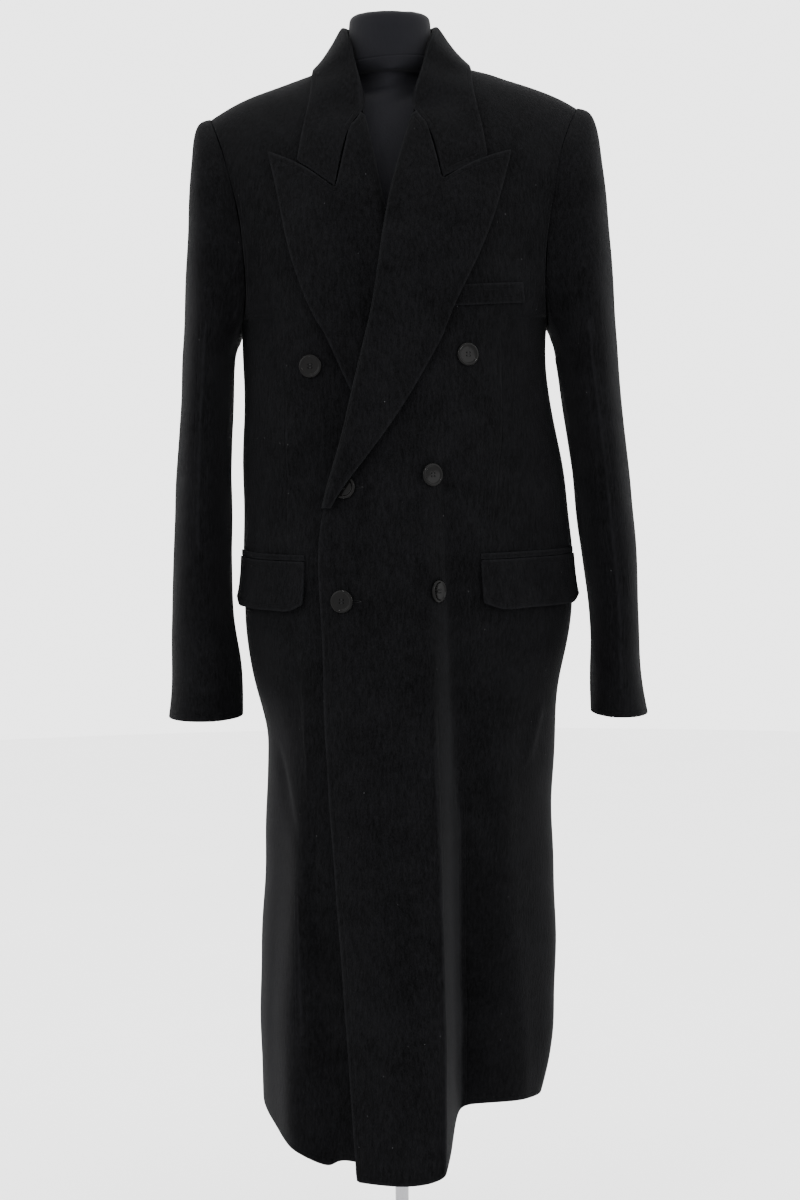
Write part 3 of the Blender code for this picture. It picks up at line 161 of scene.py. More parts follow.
SHARP = math.radians(50)
MERGE_DISTANCE = 0.00002
RIM_CREASE = 0.9
MOST_TRIANGLES = 150000
FIT_ROUNDS = 4
FIT_SHARE = 0.85
OUTLINE_STEP = 0.0015
SEAM_REACH = 0.0013
FAR = 0.05
QUIET_RADIUS = 0.028
HOLE_COUNT = 4
HOLE_OUT = 0.0024
BUTTON_RADIUS = 0.0130
PROBE_HEIGHT = 0.012
SEAT_GAP = 0.0001

# The face of a button from its middle out: how far out, and how far below the top of the rim
BUTTON_PROFILE = (
    (0.0, 0.00090), (0.0086, 0.00090), (0.0092, 0.00082), (0.0097, 0.00045), (0.0102, 0.00012),
    (0.0109, 0.0), (0.0117, 0.00010), (0.0124, 0.00045), (0.0129, 0.00110), (0.0130, 0.00170),
    (0.0127, 0.00240), (0.0117, 0.00310),
)


# Settings

class ClothSettings(bpy.types.PropertyGroup):
    """Settings of the coat's cloth."""

    fineness: bpy.props.IntProperty(
        name="Fineness", description="Steps of subdivision of each cloth piece", default=3, min=1, max=3,
    )
    crease_share: bpy.props.FloatProperty(
        name="Crease depth", description="Share of the depth of the creases", default=1.0, min=0.0, max=2.0,
        unit="NONE",
    )
    stitch_inset: bpy.props.FloatProperty(
        name="Stitch inset", description="Distance of the edge stitching from a free edge", default=0.0062,
        min=0.002, max=0.02, unit="LENGTH",
    )


class StudioSettings(bpy.types.PropertyGroup):
    """Settings of the white studio."""

    background: bpy.props.FloatProperty(
        name="Background", description="Strength of the white surroundings", default=3.4, min=0.0, unit="NONE",
    )
    side_power: bpy.props.FloatProperty(
        name="Side lights", description="Power of each large light beside the coat", default=30.0, min=0.0,
        unit="POWER",
    )
    spark_power: bpy.props.FloatProperty(
        name="Small lights", description="Power of each small light that glints on the buttons", default=16.0,
        min=0.0, unit="POWER",
    )
    top_power: bpy.props.FloatProperty(
        name="Top light", description="Power of the large light above the coat", default=26.0, min=0.0,
        unit="POWER",
    )


# Meshes

def only(obj):
    """Selects this object alone and makes it active."""
    bpy.ops.object.select_all(action="DESELECT")
    obj.select_set(True)
    bpy.context.view_layer.objects.active = obj


def clean_copy(node_name, name):
    """A copy of a CAD node's mesh, merged and turned from triangles into quads."""
    obj = bpy.data.objects.new(name, frame["nodes"][node_name].data.copy())
    obj.data.name = name
    bpy.context.scene.collection.objects.link(obj)
    only(obj)
    bpy.ops.mesh.customdata_custom_splitnormals_clear()
    bpy.ops.object.mode_set(mode="EDIT")
    bpy.ops.mesh.select_all(action="SELECT")
    bpy.ops.mesh.remove_doubles(threshold=MERGE_DISTANCE)
    bpy.ops.mesh.mark_sharp(clear=True)
    bpy.ops.mesh.tris_convert_to_quads(face_threshold=math.radians(50), shape_threshold=math.radians(100))
    bpy.ops.mesh.normals_make_consistent(inside=False)
    bpy.ops.object.mode_set(mode="OBJECT")
    return obj


def crease_rims(obj):
    """Keeps the sharp edges of a mesh through the subdivision."""
    bm = bmesh.new()
    bm.from_mesh(obj.data)
    layer = bm.edges.layers.float.get("crease_edge") or bm.edges.layers.float.new("crease_edge")
    for edge in bm.edges:
        if len(edge.link_faces) == 2 and edge.calc_face_angle(0.0) > SHARP:
            edge[layer] = RIM_CREASE
    bm.to_mesh(obj.data)
    bm.free()


def subdivide(obj, level, exact=True):
    """Smooths the mesh with an applied Subdivision Surface; exact keeps it on the CAD's own vertices."""
    only(obj)
    made = obj.modifiers.new("smooth", "SUBSURF")
    made.levels = level
    made.render_levels = level
    goal = places(obj)
    rows = goal.copy()
    for _ in range(FIT_ROUNDS if exact else 0):
        got = smoothed_places(obj)[:len(goal)]
        rows = rows + FIT_SHARE * (goal - got)
        move_to(obj, rows)
    bpy.ops.object.modifier_apply(modifier=made.name)
    bpy.ops.object.shade_smooth()


def smoothed_places(obj):
    """The places of the vertices with the modifiers on."""
    bpy.context.view_layer.update()
    shown = obj.evaluated_get(bpy.context.evaluated_depsgraph_get())
    mesh = shown.to_mesh()
    flat = np.empty(len(mesh.vertices) * 3)
    mesh.vertices.foreach_get("co", flat)
    shown.to_mesh_clear()
    return flat.reshape(-1, 3)


def places(obj):
    """The places of all vertices, as rows."""
    flat = np.empty(len(obj.data.vertices) * 3)
    obj.data.vertices.foreach_get("co", flat)
    return flat.reshape(-1, 3)


def move_to(obj, rows):
    """Puts all vertices at these places."""
    obj.data.vertices.foreach_set("co", rows.ravel())
    obj.data.update()


def write_values(obj, name, values):
    """Writes one number for each vertex, for the material to read."""
    made = obj.data.attributes.new(name, "FLOAT", "POINT")
    made.data.foreach_set("value", np.asarray(values, dtype=np.float32))


def dress(obj, material, slot_name, *nodes):
    """Gives a piece its material and its body, and hides the CAD nodes that it stands for."""
    obj.data.materials.clear()
    obj.data.materials.append(material)
    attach(obj, "root")
    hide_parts(*nodes)
    return obj


# Outlines of the cloth pieces

def sample_outline(node_name):
    """Points every 1.5 mm along the sharp edges of a CAD node."""
    bm = bmesh.new()
    bm.from_mesh(frame["nodes"][node_name].data)
    bmesh.ops.remove_doubles(bm, verts=bm.verts, dist=MERGE_DISTANCE)
    points = []
    for edge in bm.edges:
        if len(edge.link_faces) == 2 and edge.calc_face_angle(0.0) > SHARP:
            a, b = (v.co.copy() for v in edge.verts)
            steps = max(1, math.ceil((b - a).length / OUTLINE_STEP))
            points.extend(a.lerp(b, i / steps) for i in range(steps + 1))
    bm.free()
    return points


def point_tree(points):
    """A search tree of points."""
    tree = KDTree(len(points))
    for i, point in enumerate(points):
        tree.insert(point, i)
    tree.balance()
    return tree


def sort_outlines():
    """For each cloth piece, the points of its free edges and those of its seams."""
    outlines = {name: sample_outline(name) for name in CUTS}
    owners, points = [], []
    for name, found in outlines.items():
        owners.extend([name] * len(found))
        points.extend(found)
    tree = point_tree(points)
    sorted_points = {}
    for name, found in outlines.items():
        free, seams = [], []
        for point in found:
            near = tree.find_range(point, SEAM_REACH)
            (seams if any(owners[i] != name for _, i, _ in near) else free).append(point)
        sorted_points[name] = (free, seams)
    return sorted_points


OUTLINES = {}


def distances(rows, points):
    """The distance of each place from the nearest of the points, up to 5 cm."""
    if not points:
        return np.full(len(rows), FAR)
    tree = point_tree(points)
    return np.minimum([tree.find(row)[2] for row in rows], FAR)


def mark_lines(obj, rows, node_name):
    """Writes how far each vertex is from free edges, seams and the dart."""
    if not OUTLINES:
        OUTLINES.update(sort_outlines())
    free, seams = OUTLINES[node_name]
    write_values(obj, "edge", distances(rows, free))
    write_values(obj, "seam", distances(rows, seams))
    x, _, z = rows.T
    beside, shown = np.full(len(rows), FAR), np.zeros(len(rows))
    if node_name in DARTS:
        heights, sides = np.array(DARTS[node_name]).T
        beside = x - np.interp(z, heights, sides)
        shown = ease((z - heights[0]) / 0.02) * ease((heights[-1] - z) / 0.03)
    write_values(obj, "dart", beside)
    write_values(obj, "dart_shown", shown)


# Creases

def ease(t):
    """A smooth step from 0 to 1."""
    t = np.clip(t, 0.0, 1.0)
    return t * t * (3.0 - 2.0 * t)


def crease_height(across, up, crease):
    """The height of one soft, uneven trough or ridge at these places."""
    x0, z0 = crease["from"]
    x1, z1 = crease["to"]
    length = math.hypot(x1 - x0, z1 - z0)
    way_x, way_z = (x1 - x0) / length, (z1 - z0) / length
    along = ((across - x0) * way_x + (up - z0) * way_z) / length
    seed = 37.0 * x0 + 11.0 * z0
    beside = (across - x0) * way_z - (up - z0) * way_x
    beside = beside + 0.35 * crease["width"] * np.sin(4.7 * along * length / 0.3 + seed)
    width = crease["width"] * (1.0 + 0.28 * np.sin(3.1 * along * length / 0.2 + 1.7 * seed))
    width = width * np.where(beside > 0, 1.35, 0.75)
    ends = ease(along / 0.3) * ease((1.0 - along) / 0.3)
    return crease["height"] * ends * np.exp(-((beside / width) ** 2))


def quiet_near_buttons(rows):
    """0 at each button and 1 away from it, so that the cloth stays under the buttons."""
    share = np.ones(len(rows))
    for name in BUTTONS:
        low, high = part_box(name)
        middle = np.array((low + high) / 2)
        share = share * (1.0 - np.exp(-((np.linalg.norm(rows - middle, axis=1) / QUIET_RADIUS) ** 2)))
    return share


def body_creases(rows):
    """How each place of the coat's body moves for the creases."""
    x, y, z = rows.T
    front = ease((0.03 - y) / 0.05)
    height = front * sum(crease_height(x, z, c) for c in FRONT_CREASES)
    height = height + (1.0 - front) * sum(crease_height(x, z, c) for c in BACK_CREASES)
    height = height + 0.0005 * (np.sin(43.0 * x + 19.0 * z) + np.sin(57.0 * z - 31.0 * x + 1.3))
    height = height * ease((1.43 - z) / 0.07) * quiet_near_buttons(rows)
    way = np.stack((x, y + 0.02, np.zeros(len(rows))), 1)
    way = way / np.maximum(np.linalg.norm(way, axis=1), 0.001)[:, None]
    return way * height[:, None]


def sleeve_creases(side):
    """The creases of one sleeve, as a function of the places."""
    def moves(rows):
        x, y, z = rows.T
        levels, xs, ys = np.array(SLEEVE_MIDDLES[side]).T
        from_x, from_y = x - np.interp(z, levels, xs), y - np.interp(z, levels, ys)
        outward = 1.0 if side == "left" else -1.0
        round_way = np.arctan2(outward * from_x, -from_y) * 0.045
        height = sum(crease_height(round_way, z, c) for c in SLEEVE_CREASES[side])
        height = height + 0.0004 * (np.sin(61.0 * z + 70.0 * round_way) + np.sin(37.0 * z - 50.0 * round_way))
        near_seam = ease((np.abs(x) - 0.185) / 0.02)
        height = height * ease((1.40 - z) / 0.06) * np.where(z > 1.18, near_seam, 1.0)
        way = np.stack((from_x, from_y, np.zeros(len(rows))), 1)
        way = way / np.maximum(np.linalg.norm(way, axis=1), 0.001)[:, None]
        return way * height[:, None]
    return moves


# Materials

def feed(tree, socket, value):
    """Links an output to the socket, or sets the value on it."""
    if isinstance(value, bpy.types.NodeSocket):
        tree.links.new(value, socket)
    else:
        socket.default_value = value


def add_node(tree, kind, inputs, **settings):
    """Adds a shader node with its inputs."""
    made = tree.nodes.new(kind)
    for name, value in settings.items():
        setattr(made, name, value)
    for key, value in inputs.items():
        feed(tree, made.inputs[key], value)
    return made


def calc(tree, operation, *values, clamp=False):
    """Adds one sum."""
    made = tree.nodes.new("ShaderNodeMath")
    made.operation = operation
    made.use_clamp = clamp
    for socket, value in zip(made.inputs, values):
        feed(tree, socket, value)
    return made.outputs[0]


def noise(tree, vector, scale, detail=2.0):
    """Adds a noise texture."""
    return add_node(tree, "ShaderNodeTexNoise", {"Vector": vector, "Scale": scale, "Detail": detail}).outputs[0]


def stretch(tree, vector, scale):
    """Adds a mapping that stretches a texture."""
    return add_node(tree, "ShaderNodeMapping", {"Vector": vector, "Scale": scale}).outputs[0]


def value_of(tree, name):
    """Reads a number that the mesh carries."""
    return add_node(tree, "ShaderNodeAttribute", {}, attribute_name=name).outputs["Fac"]


def line_at(tree, value, middle, half):
    """1 where value is middle, down to 0 at half beside it."""
    away = calc(tree, "ABSOLUTE", calc(tree, "SUBTRACT", value, middle))
    return calc(tree, "SUBTRACT", 1.0, calc(tree, "DIVIDE", away, half), clamp=True)


def total(tree, *terms):
    """Adds up pairs of a value and its weight."""
    result = calc(tree, "MULTIPLY", *terms[0])
    for value, weight in terms[1:]:
        result = calc(tree, "MULTIPLY_ADD", value, weight, result)
    return result


def blend(tree, share, a, b):
    """Mixes two colours."""
    made = tree.nodes.new("ShaderNodeMix")
    made.data_type = "RGBA"
    feed(tree, made.inputs[0], share)
    feed(tree, made.inputs[6], a)
    feed(tree, made.inputs[7], b)
    return made.outputs[2]


def surface(name, build):
    """A material with a Principled shader, made once; build gives the shader's inputs."""
    if name in bpy.data.materials:
        return bpy.data.materials[name]
    material = bpy.data.materials.new(name)
    material.use_nodes = True
    tree = material.node_tree
    tree.nodes.clear()
    place = add_node(tree, "ShaderNodeTexCoord", {}).outputs["Object"]
    shader = add_node(tree, "ShaderNodeBsdfPrincipled", build(tree, place))
    add_node(tree, "ShaderNodeOutputMaterial", {"Surface": shader.outputs[0]})
    return material


def bump(tree, height):
    """A bump of a height in millimetres."""
    return add_node(tree, "ShaderNodeBump", {"Strength": 1.0, "Distance": 0.001, "Height": height}).outputs[0]


def wool_inputs(tree, place):
    """Brushed wool with a short nap, stitched edges, pressed seams, darts, specks of lint and a painted
    highlight along the free edges.
    """
    inset = bpy.context.scene.overcoat_cloth.stitch_inset
    brushed = stretch(tree, place, (1.0, 1.0, 0.25))
    nap, tufts = noise(tree, brushed, 1500.0, 3.0), noise(tree, brushed, 380.0)
    cloud = noise(tree, place, 24.0, 3.0)
    edge, seam = value_of(tree, "edge"), value_of(tree, "seam")
    # Rises from 0 at a free edge to 1 at 2.6 mm in. In the bump it shapes the rolled edge. In the colour it
    # sets a painted highlight along the edge.
    rolled_edge_and_sheen = calc(tree, "DIVIDE", edge, 0.0026, clamp=True)
    stitch = line_at(tree, edge, inset, 0.0011)
    pressed = calc(tree, "SUBTRACT", 1.0, calc(tree, "DIVIDE", seam, 0.0018), clamp=True)
    dart = line_at(tree, value_of(tree, "dart"), 0.0, 0.0015)
    dart = calc(tree, "MULTIPLY", dart, value_of(tree, "dart_shown"))
    height = total(
        tree, (rolled_edge_and_sheen, 0.5), (stitch, -0.40), (pressed, -0.45), (dart, -0.85), (nap, 0.55), (tufts, 0.60),
    )
    lint = add_node(tree, "ShaderNodeTexVoronoi", {"Vector": place, "Scale": 110.0})
    chosen = add_node(tree, "ShaderNodeSeparateColor", {"Color": lint.outputs["Color"]}).outputs[0]
    speck = calc(
        tree, "MULTIPLY", calc(tree, "LESS_THAN", lint.outputs["Distance"], 0.050),
        calc(tree, "GREATER_THAN", chosen, 0.88),
    )
    # Random patches of nap, tufts and cloud make the tone uneven. The edge term adds a lighter band along the
    # free edges, which is a painted edge highlight.
    patches_and_edge_sheen = total(tree, (nap, 1.5), (tufts, 1.1), (cloud, 0.7), (calc(tree, "SUBTRACT", 1.0, rolled_edge_and_sheen), 0.5))
    share = calc(tree, "SUBTRACT", patches_and_edge_sheen, 1.2, clamp=True)
    colour = blend(tree, share, (0.00015, 0.00015, 0.0002, 1.0), (0.0027, 0.0027, 0.0031, 1.0))
    colour = blend(tree, calc(tree, "MULTIPLY", speck, 0.8), colour, (0.05, 0.05, 0.052, 1.0))
    return {
        "Base Color": colour,
        "Roughness": 0.92,
        "Specular IOR Level": 0.03,
        "Sheen Weight": 0.010,
        "Sheen Roughness": 0.42,
        "Sheen Tint": (0.82, 0.84, 0.90, 1.0),
        "Normal": bump(tree, height),
    }


def jersey_inputs(tree, place):
    """Fine stretch jersey with its knit ribs and the seam round the neck."""
    ribs = noise(tree, stretch(tree, place, (1.0, 1.0, 0.10)), 900.0, 1.0)
    loops = noise(tree, place, 1600.0, 2.0)
    cloud = noise(tree, place, 30.0)
    parts = add_node(tree, "ShaderNodeSeparateXYZ", {"Vector": place}).outputs
    level = calc(tree, "MULTIPLY_ADD", parts[0], -0.06, parts[2])
    seam = line_at(tree, level, 1.4712, 0.0016)
    height = total(tree, (ribs, 0.22), (loops, 0.14), (seam, -0.5))
    share = total(tree, (ribs, 0.4), (cloud, 0.6))
    return {
        "Base Color": blend(tree, share, (0.0017, 0.0017, 0.0025, 1.0), (0.0034, 0.0034, 0.0046, 1.0)),
        "Roughness": 0.78,
        "Specular IOR Level": 0.06,
        "Sheen Weight": 0.02,
        "Normal": bump(tree, height),
    }


def horn_inputs(tree, place):
    """Polished black horn with a faint grain."""
    grain = noise(tree, stretch(tree, place, (1.0, 1.0, 0.3)), 260.0, 3.0)
    return {
        "Base Color": blend(tree, grain, (0.001, 0.001, 0.001, 1.0), (0.003, 0.0028, 0.0028, 1.0)),
        "Roughness": 0.1,
        "Specular IOR Level": 0.05,
        "Normal": bump(tree, total(tree, (grain, 0.03))),
    }


def thread_inputs(tree, place):
    """Twisted black thread."""
    twist = noise(tree, stretch(tree, place, (1.0, 1.0, 0.4)), 2600.0)
    return {
        "Base Color": blend(tree, twist, (0.0015, 0.0015, 0.0017, 1.0), (0.0060, 0.0060, 0.0065, 1.0)),
        "Roughness": 0.6,
        "Specular IOR Level": 0.1,
        "Normal": bump(tree, total(tree, (twist, 0.2))),
    }


def steel_inputs(tree, place):
    """Satin steel, brushed along the pole."""
    brushed = noise(tree, stretch(tree, place, (1.0, 1.0, 0.02)), 2200.0, 3.0)
    return {
        "Base Color": blend(tree, brushed, (0.20, 0.20, 0.21, 1.0), (0.30, 0.30, 0.31, 1.0)),
        "Metallic": 1.0,
        "Roughness": 0.34,
        "Normal": bump(tree, total(tree, (brushed, 0.05))),
    }


def floor_inputs(tree, place):
    """A white floor with a faint unevenness."""
    cloud = noise(tree, place, 3.0, 2.0)
    return {
        "Base Color": blend(tree, cloud, (0.86, 0.86, 0.86, 1.0), (0.90, 0.90, 0.90, 1.0)),
        "Roughness": 0.7,
    }


# Pieces

def cloth_piece(node_name, moves):
    """One cloth piece: the CAD wall made smooth, with its creases, seams and nap."""
    settings = bpy.context.scene.overcoat_cloth
    obj = clean_copy(node_name, node_name + "_cloth")
    faces = sum(len(face.vertices) - 2 for face in obj.data.polygons)
    crease_rims(obj)
    level = settings.fineness
    while level > 1 and faces * 4 ** level > MOST_TRIANGLES:
        level -= 1
    subdivide(obj, level)
    rows = places(obj)
    mark_lines(obj, rows, node_name)
    move_to(obj, rows + settings.crease_share * moves(rows))
    dress(obj, surface("black_wool_cloth", wool_inputs), "black_wool", node_name)
    return obj


def smooth_piece(node_name, name, level, material, slot_name):
    """A padded or turned piece: the CAD solid made smooth."""
    obj = clean_copy(node_name, name)
    subdivide(obj, level, exact=False)
    return dress(obj, material, slot_name, node_name)


def keep_cad(node_name, material):
    """A CAD node that shows as it is, with its own material."""
    obj = frame["nodes"][node_name]
    obj.data.materials.clear()
    obj.data.materials.append(material)
    return obj


class OVERCOAT_OT_form(bpy.types.Operator):
    """Builds the jersey-covered torso with its neck and the knob on it"""

    bl_idname = "overcoat.form"
    bl_label = "Dress form"

    def execute(self, context):
        jersey = surface("black_jersey_cover", jersey_inputs)
        smooth_piece("form_torso", "dress_form_torso", 2, jersey, "black_jersey")
        smooth_piece("form_neck_knob", "dress_form_knob", 2, jersey, "black_jersey")
        return {"FINISHED"}


class OVERCOAT_OT_stand(bpy.types.Operator):
    """Gives the pole and the base their brushed steel"""

    bl_idname = "overcoat.stand"
    bl_label = "Stand"

    def execute(self, context):
        for name in ("stand_pole", "stand_base"):
            keep_cad(name, surface("satin_steel_stand", steel_inputs))
        return {"FINISHED"}


class OVERCOAT_OT_fronts(bpy.types.Operator):
    """Builds the two fronts"""

    bl_idname = "overcoat.fronts"
    bl_label = "Fronts"

    def execute(self, context):
        for name in ("front_left", "front_right"):
            cloth_piece(name, body_creases)
        return {"FINISHED"}


class OVERCOAT_OT_backs(bpy.types.Operator):
    """Builds the two backs with the vent"""

    bl_idname = "overcoat.backs"
    bl_label = "Backs"

    def execute(self, context):
        for name in ("back_left", "back_right"):
            cloth_piece(name, body_creases)
        return {"FINISHED"}


class OVERCOAT_OT_sleeves(bpy.types.Operator):
    """Builds the two-piece sleeves"""

    bl_idname = "overcoat.sleeves"
    bl_label = "Sleeves"

    def execute(self, context):
        for side in ("left", "right"):
            for part in ("upper", "under"):
                cloth_piece(f"sleeve_{side}_{part}", sleeve_creases(side))
        return {"FINISHED"}


class OVERCOAT_OT_collar(bpy.types.Operator):
    """Builds the lapels and the collar's stand and fall"""

    bl_idname = "overcoat.collar"
    bl_label = "Collar and lapels"

    def execute(self, context):
        for name in ("lapel_left", "lapel_right", "collar_stand", "collar_fall"):
            cloth_piece(name, body_creases)
        return {"FINISHED"}


class OVERCOAT_OT_pockets(bpy.types.Operator):
    """Builds the pocket flaps, jets and the breast welt"""

    bl_idname = "overcoat.pockets"
    bl_label = "Pockets"

    def execute(self, context):
        for side in ("left", "right"):
            cloth_piece(f"pocket_flap_{side}", body_creases)
            cloth_piece(f"pocket_jet_{side}", body_creases)
        cloth_piece("breast_welt", body_creases)
        return {"FINISHED"}


def button_frame(node_name):
    """The middle of a button's seat, the way that its face looks and its thickness."""
    rows = np.unique(np.round(places(frame["nodes"][node_name]), 6), axis=0)
    middle = rows.mean(0)
    way = np.linalg.svd(rows - middle, full_matrices=False)[2][2]
    way = way if way[1] < 0 else -way
    heights = (rows - middle) @ way
    seat = Vector(middle + way * heights.min())
    way = Vector(way)
    return seat + way * cloth_height(node_name, seat, way), way, float(heights.max() - heights.min())


def cloth_height(node_name, seat, way):
    """How far the shown cloth under a button stands out of the plane of its seat."""
    cloth = bpy.data.objects["front_right_cloth" if node_name == "button_right_top" else "front_left_cloth"]
    turn = way.to_track_quat("Z", "Y")
    found = []
    for share in (0.0, 0.45, 0.8, 1.0):
        for i in range(16):
            swing = math.tau * i / 16
            beside = Vector((math.cos(swing), math.sin(swing), 0.0)) * BUTTON_RADIUS * share
            start = seat + turn @ beside + way * PROBE_HEIGHT
            hit, spot, _, _ = cloth.ray_cast(start, -way, distance=2 * PROBE_HEIGHT)
            if hit:
                found.append((spot - seat).dot(way))
    if not found:
        raise RuntimeError(f"no cloth under {node_name}")
    return max(found) + SEAT_GAP


def joined(made, name):
    """Joins new meshes into one, smooth, with its places in the mesh."""
    bpy.ops.object.select_all(action="DESELECT")
    for obj in made:
        obj.select_set(True)
    bpy.context.view_layer.objects.active = made[0]
    if len(made) > 1:
        bpy.ops.object.join()
    bpy.ops.object.transform_apply(location=True, rotation=True, scale=True)
    bpy.ops.object.shade_smooth()
    made[0].name = name
    return made[0]


def turned_button(node_name):
    """A button turned in 64 steps, with a round rim, a dish and four holes."""
    seat, way, thick = button_frame(node_name)
    profile = [(radius, 0.0, thick - down) for radius, down in BUTTON_PROFILE]
    profile += [(0.0100, 0.0, 0.0), (0.0, 0.0, 0.0)]
    mesh = bpy.data.meshes.new(node_name + "_turned")
    mesh.from_pydata(profile, [(i, i + 1) for i in range(len(profile) - 1)], [])
    obj = bpy.data.objects.new(node_name + "_turned", mesh)
    bpy.context.scene.collection.objects.link(obj)
    only(obj)
    screw = obj.modifiers.new("turn", "SCREW")
    screw.steps = 64
    screw.render_steps = 64
    screw.use_merge_vertices = True
    screw.merge_threshold = 0.00001
    bpy.ops.object.modifier_apply(modifier=screw.name)
    bpy.ops.object.mode_set(mode="EDIT")
    bpy.ops.mesh.select_all(action="SELECT")
    bpy.ops.mesh.normals_make_consistent(inside=False)
    bpy.ops.object.mode_set(mode="OBJECT")
    drills = []
    for i in range(HOLE_COUNT):
        swing = math.tau * (i + 0.5) / HOLE_COUNT
        spot = (HOLE_OUT * math.cos(swing), HOLE_OUT * math.sin(swing), 0.0)
        bpy.ops.mesh.primitive_cylinder_add(vertices=20, radius=0.0010, depth=0.02, location=spot)
        drills.append(bpy.context.object)
    drill = joined(drills, "drill")
    only(obj)
    cut = obj.modifiers.new("holes", "BOOLEAN")
    cut.operation = "DIFFERENCE"
    cut.solver = "EXACT"
    cut.object = drill
    bpy.ops.object.modifier_apply(modifier=cut.name)
    bpy.data.objects.remove(drill)
    obj.matrix_world = Matrix.Translation(seat) @ way.to_track_quat("Z", "Y").to_matrix().to_4x4()
    bpy.ops.object.transform_apply(location=True, rotation=True, scale=True)
    bpy.ops.object.mode_set(mode="EDIT")
    bpy.ops.mesh.select_mode(type="EDGE")
    bpy.ops.mesh.select_all(action="DESELECT")
    bpy.ops.mesh.edges_select_sharp(sharpness=SHARP)
    bpy.ops.mesh.mark_sharp()
    bpy.ops.object.mode_set(mode="OBJECT")
    bpy.ops.object.shade_smooth()
    return dress(obj, surface("black_horn_polished", horn_inputs), "black_horn", node_name)


def sew_button(node_name):
    """Two stitches of thread through the four holes of a button."""
    seat, way, thick = button_frame(node_name)
    turn = way.to_track_quat("Z", "Y")
    made = []
    for side in (-1.0, 1.0):
        spot = seat + turn @ Vector((0.0, side * HOLE_OUT * 0.707, thick - 0.0008))
        bpy.ops.mesh.primitive_uv_sphere_add(segments=16, ring_count=8, radius=1.0, location=spot)
        stitch = bpy.context.object
        stitch.scale = (HOLE_OUT * 0.86, 0.0006, 0.0005)
        stitch.rotation_euler = turn.to_euler()
        made.append(stitch)
    thread = joined(made, node_name + "_thread")
    thread.data.materials.append(surface("black_thread", thread_inputs))
    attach(thread, "root")


def sew_buttonhole(node_name, cloth_name, inward):
    """The worked hole that a button comes through, where it shows beside the button."""
    seat, way, _ = button_frame(node_name)
    cloth = bpy.data.objects[cloth_name]
    start = seat + Vector((inward, -0.05, 0.0))
    hit, spot, normal, _ = cloth.ray_cast(start, Vector((0.0, 1.0, 0.0)))
    if not hit:
        raise RuntimeError(f"no cloth behind {node_name}")
    bpy.ops.mesh.primitive_torus_add(
        major_segments=48, minor_segments=8, major_radius=0.0105, minor_radius=0.0008, location=spot,
    )
    hole = bpy.context.object
    hole.scale = (1.0, 0.13, 0.6)
    hole.rotation_euler = normal.to_track_quat("Z", "Y").to_euler()
    hole = joined([hole], node_name + "_hole")
    hole.data.materials.append(surface("black_thread", thread_inputs))
    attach(hole, "root")


class OVERCOAT_OT_buttons(bpy.types.Operator):
    """Turns the six buttons and sews them on"""

    bl_idname = "overcoat.buttons"
    bl_label = "Buttons"

    def execute(self, context):
        for name in BUTTONS:
            turned_button(name)
            sew_button(name)
        for name in ("button_right_middle", "button_right_bottom"):
            sew_buttonhole(name, "front_left_cloth", 0.0105)
        return {"FINISHED"}


# Studio

def add_light(name, place, size, power):
    """A large soft light that faces the middle of the coat."""
    bpy.ops.object.light_add(type="AREA", location=place)
    light = bpy.context.object
    light.name = name
    light.data.shape = "DISK"
    light.data.size = size
    light.data.energy = power
    light.rotation_euler = (Vector((0.0, 0.0, 0.85)) - Vector(place)).to_track_quat("-Z", "Y").to_euler()
    return light


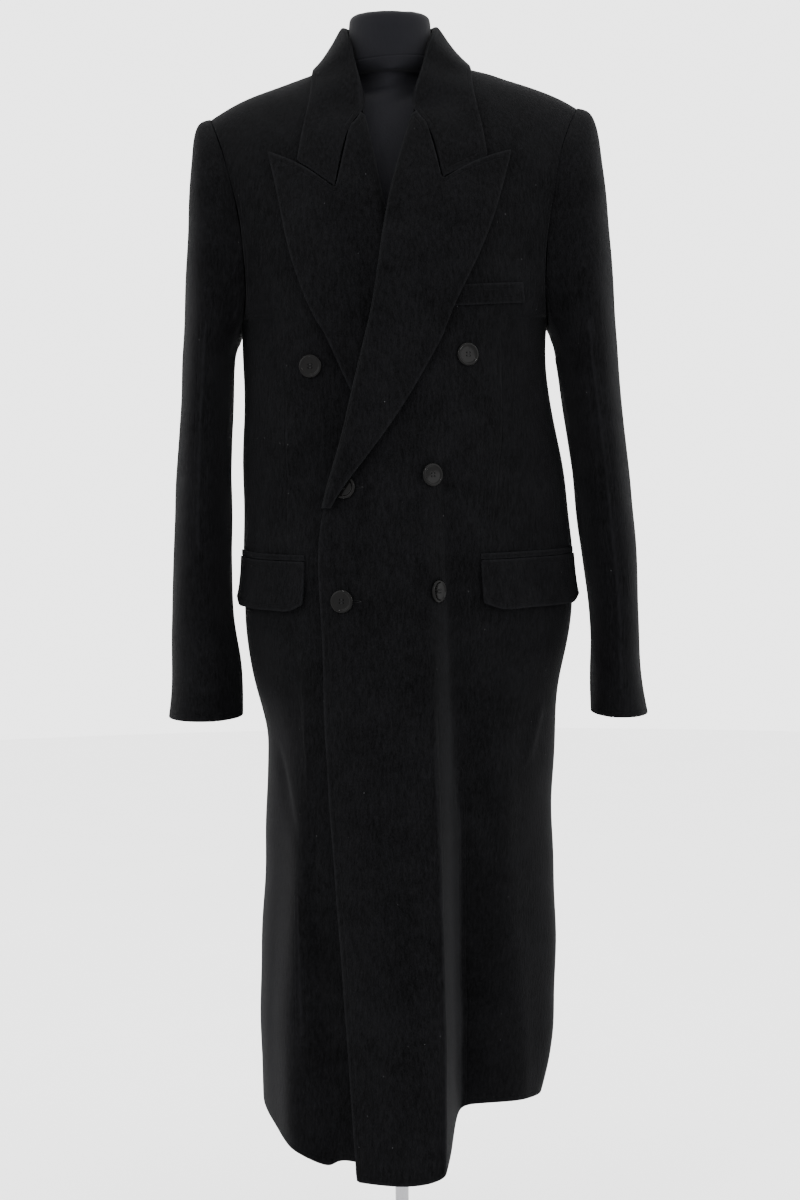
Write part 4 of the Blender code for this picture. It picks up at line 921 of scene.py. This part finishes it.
class OVERCOAT_OT_studio(bpy.types.Operator):
    """Sets up the white studio, its lights and the camera"""

    bl_idname = "overcoat.studio"
    bl_label = "Studio"

    def execute(self, context):
        settings = context.scene.overcoat_studio
        bpy.ops.object.select_all(action="DESELECT")
        bpy.ops.mesh.primitive_circle_add(vertices=96, radius=5.0, fill_type="NGON", location=(0, 0, -0.001))
        floor = context.object
        floor.name = "studio_floor"
        bpy.ops.object.transform_apply(location=True, rotation=True, scale=True)
        floor.data.materials.append(surface("studio_floor_white", floor_inputs))

        world = bpy.data.worlds.new("studio")
        world.use_nodes = True
        world.node_tree.nodes["Background"].inputs["Color"].default_value = (1.0, 1.0, 1.0, 1.0)
        world.node_tree.nodes["Background"].inputs["Strength"].default_value = settings.background
        context.scene.world = world

        add_light("light_left", (-2.0, -1.9, 1.9), 1.5, settings.side_power)
        add_light("light_right", (2.1, -1.5, 1.7), 1.5, settings.side_power * 0.8)
        add_light("light_top", (0.0, -0.3, 3.4), 1.6, settings.top_power)
        add_light("spark_left", (-1.3, -2.5, 2.3), 0.16, settings.spark_power)
        add_light("spark_right", (1.6, -2.3, 1.9), 0.16, settings.spark_power)

        turn = Euler((math.radians(85.2), 0.0, 0.0)).to_matrix() @ Matrix.Rotation(math.radians(-0.6), 3, "Z")
        bpy.ops.object.camera_add(location=(0.005, -2.8, 1.08), rotation=turn.to_euler())
        camera = context.object
        camera.name = "photo_camera"
        camera.data.lens = 71.4
        camera.data.sensor_width = 36.0
        context.scene.camera = camera
        return {"FINISHED"}


class OVERCOAT_PT_sidebar(bpy.types.Panel):
    """Settings and steps of the overcoat"""

    bl_idname = "OVERCOAT_PT_sidebar"
    bl_label = "Overcoat"
    bl_space_type = "VIEW_3D"
    bl_region_type = "UI"
    bl_category = "Overcoat"

    def draw(self, context):
        layout = self.layout
        for group, names in (
            (context.scene.overcoat_cloth, ("fineness", "crease_share", "stitch_inset")),
            (context.scene.overcoat_studio, ("background", "side_power", "top_power", "spark_power")),
        ):
            for name in names:
                layout.prop(group, name)
        for step in STEPS:
            layout.operator(step.bl_idname)


STEPS = (
    OVERCOAT_OT_form, OVERCOAT_OT_stand, OVERCOAT_OT_fronts, OVERCOAT_OT_backs, OVERCOAT_OT_sleeves,
    OVERCOAT_OT_collar, OVERCOAT_OT_pockets, OVERCOAT_OT_buttons, OVERCOAT_OT_studio,
)
CLASSES = (ClothSettings, StudioSettings, *STEPS, OVERCOAT_PT_sidebar)


def register():
    """Registers the settings, the steps and the panel."""
    for each in CLASSES:
        bpy.utils.register_class(each)
    bpy.types.Scene.overcoat_cloth = bpy.props.PointerProperty(type=ClothSettings)
    bpy.types.Scene.overcoat_studio = bpy.props.PointerProperty(type=StudioSettings)


def unregister():
    """Takes them out again."""
    del bpy.types.Scene.overcoat_studio
    del bpy.types.Scene.overcoat_cloth
    for each in reversed(CLASSES):
        bpy.utils.unregister_class(each)


def main():
    """Builds every piece and the studio, in order."""
    register()
    bpy.ops.overcoat.form()
    bpy.ops.overcoat.stand()
    bpy.ops.overcoat.fronts()
    bpy.ops.overcoat.backs()
    bpy.ops.overcoat.sleeves()
    bpy.ops.overcoat.collar()
    bpy.ops.overcoat.pockets()
    bpy.ops.overcoat.buttons()
    bpy.ops.overcoat.studio()


if __name__ == "__main__":
    main()
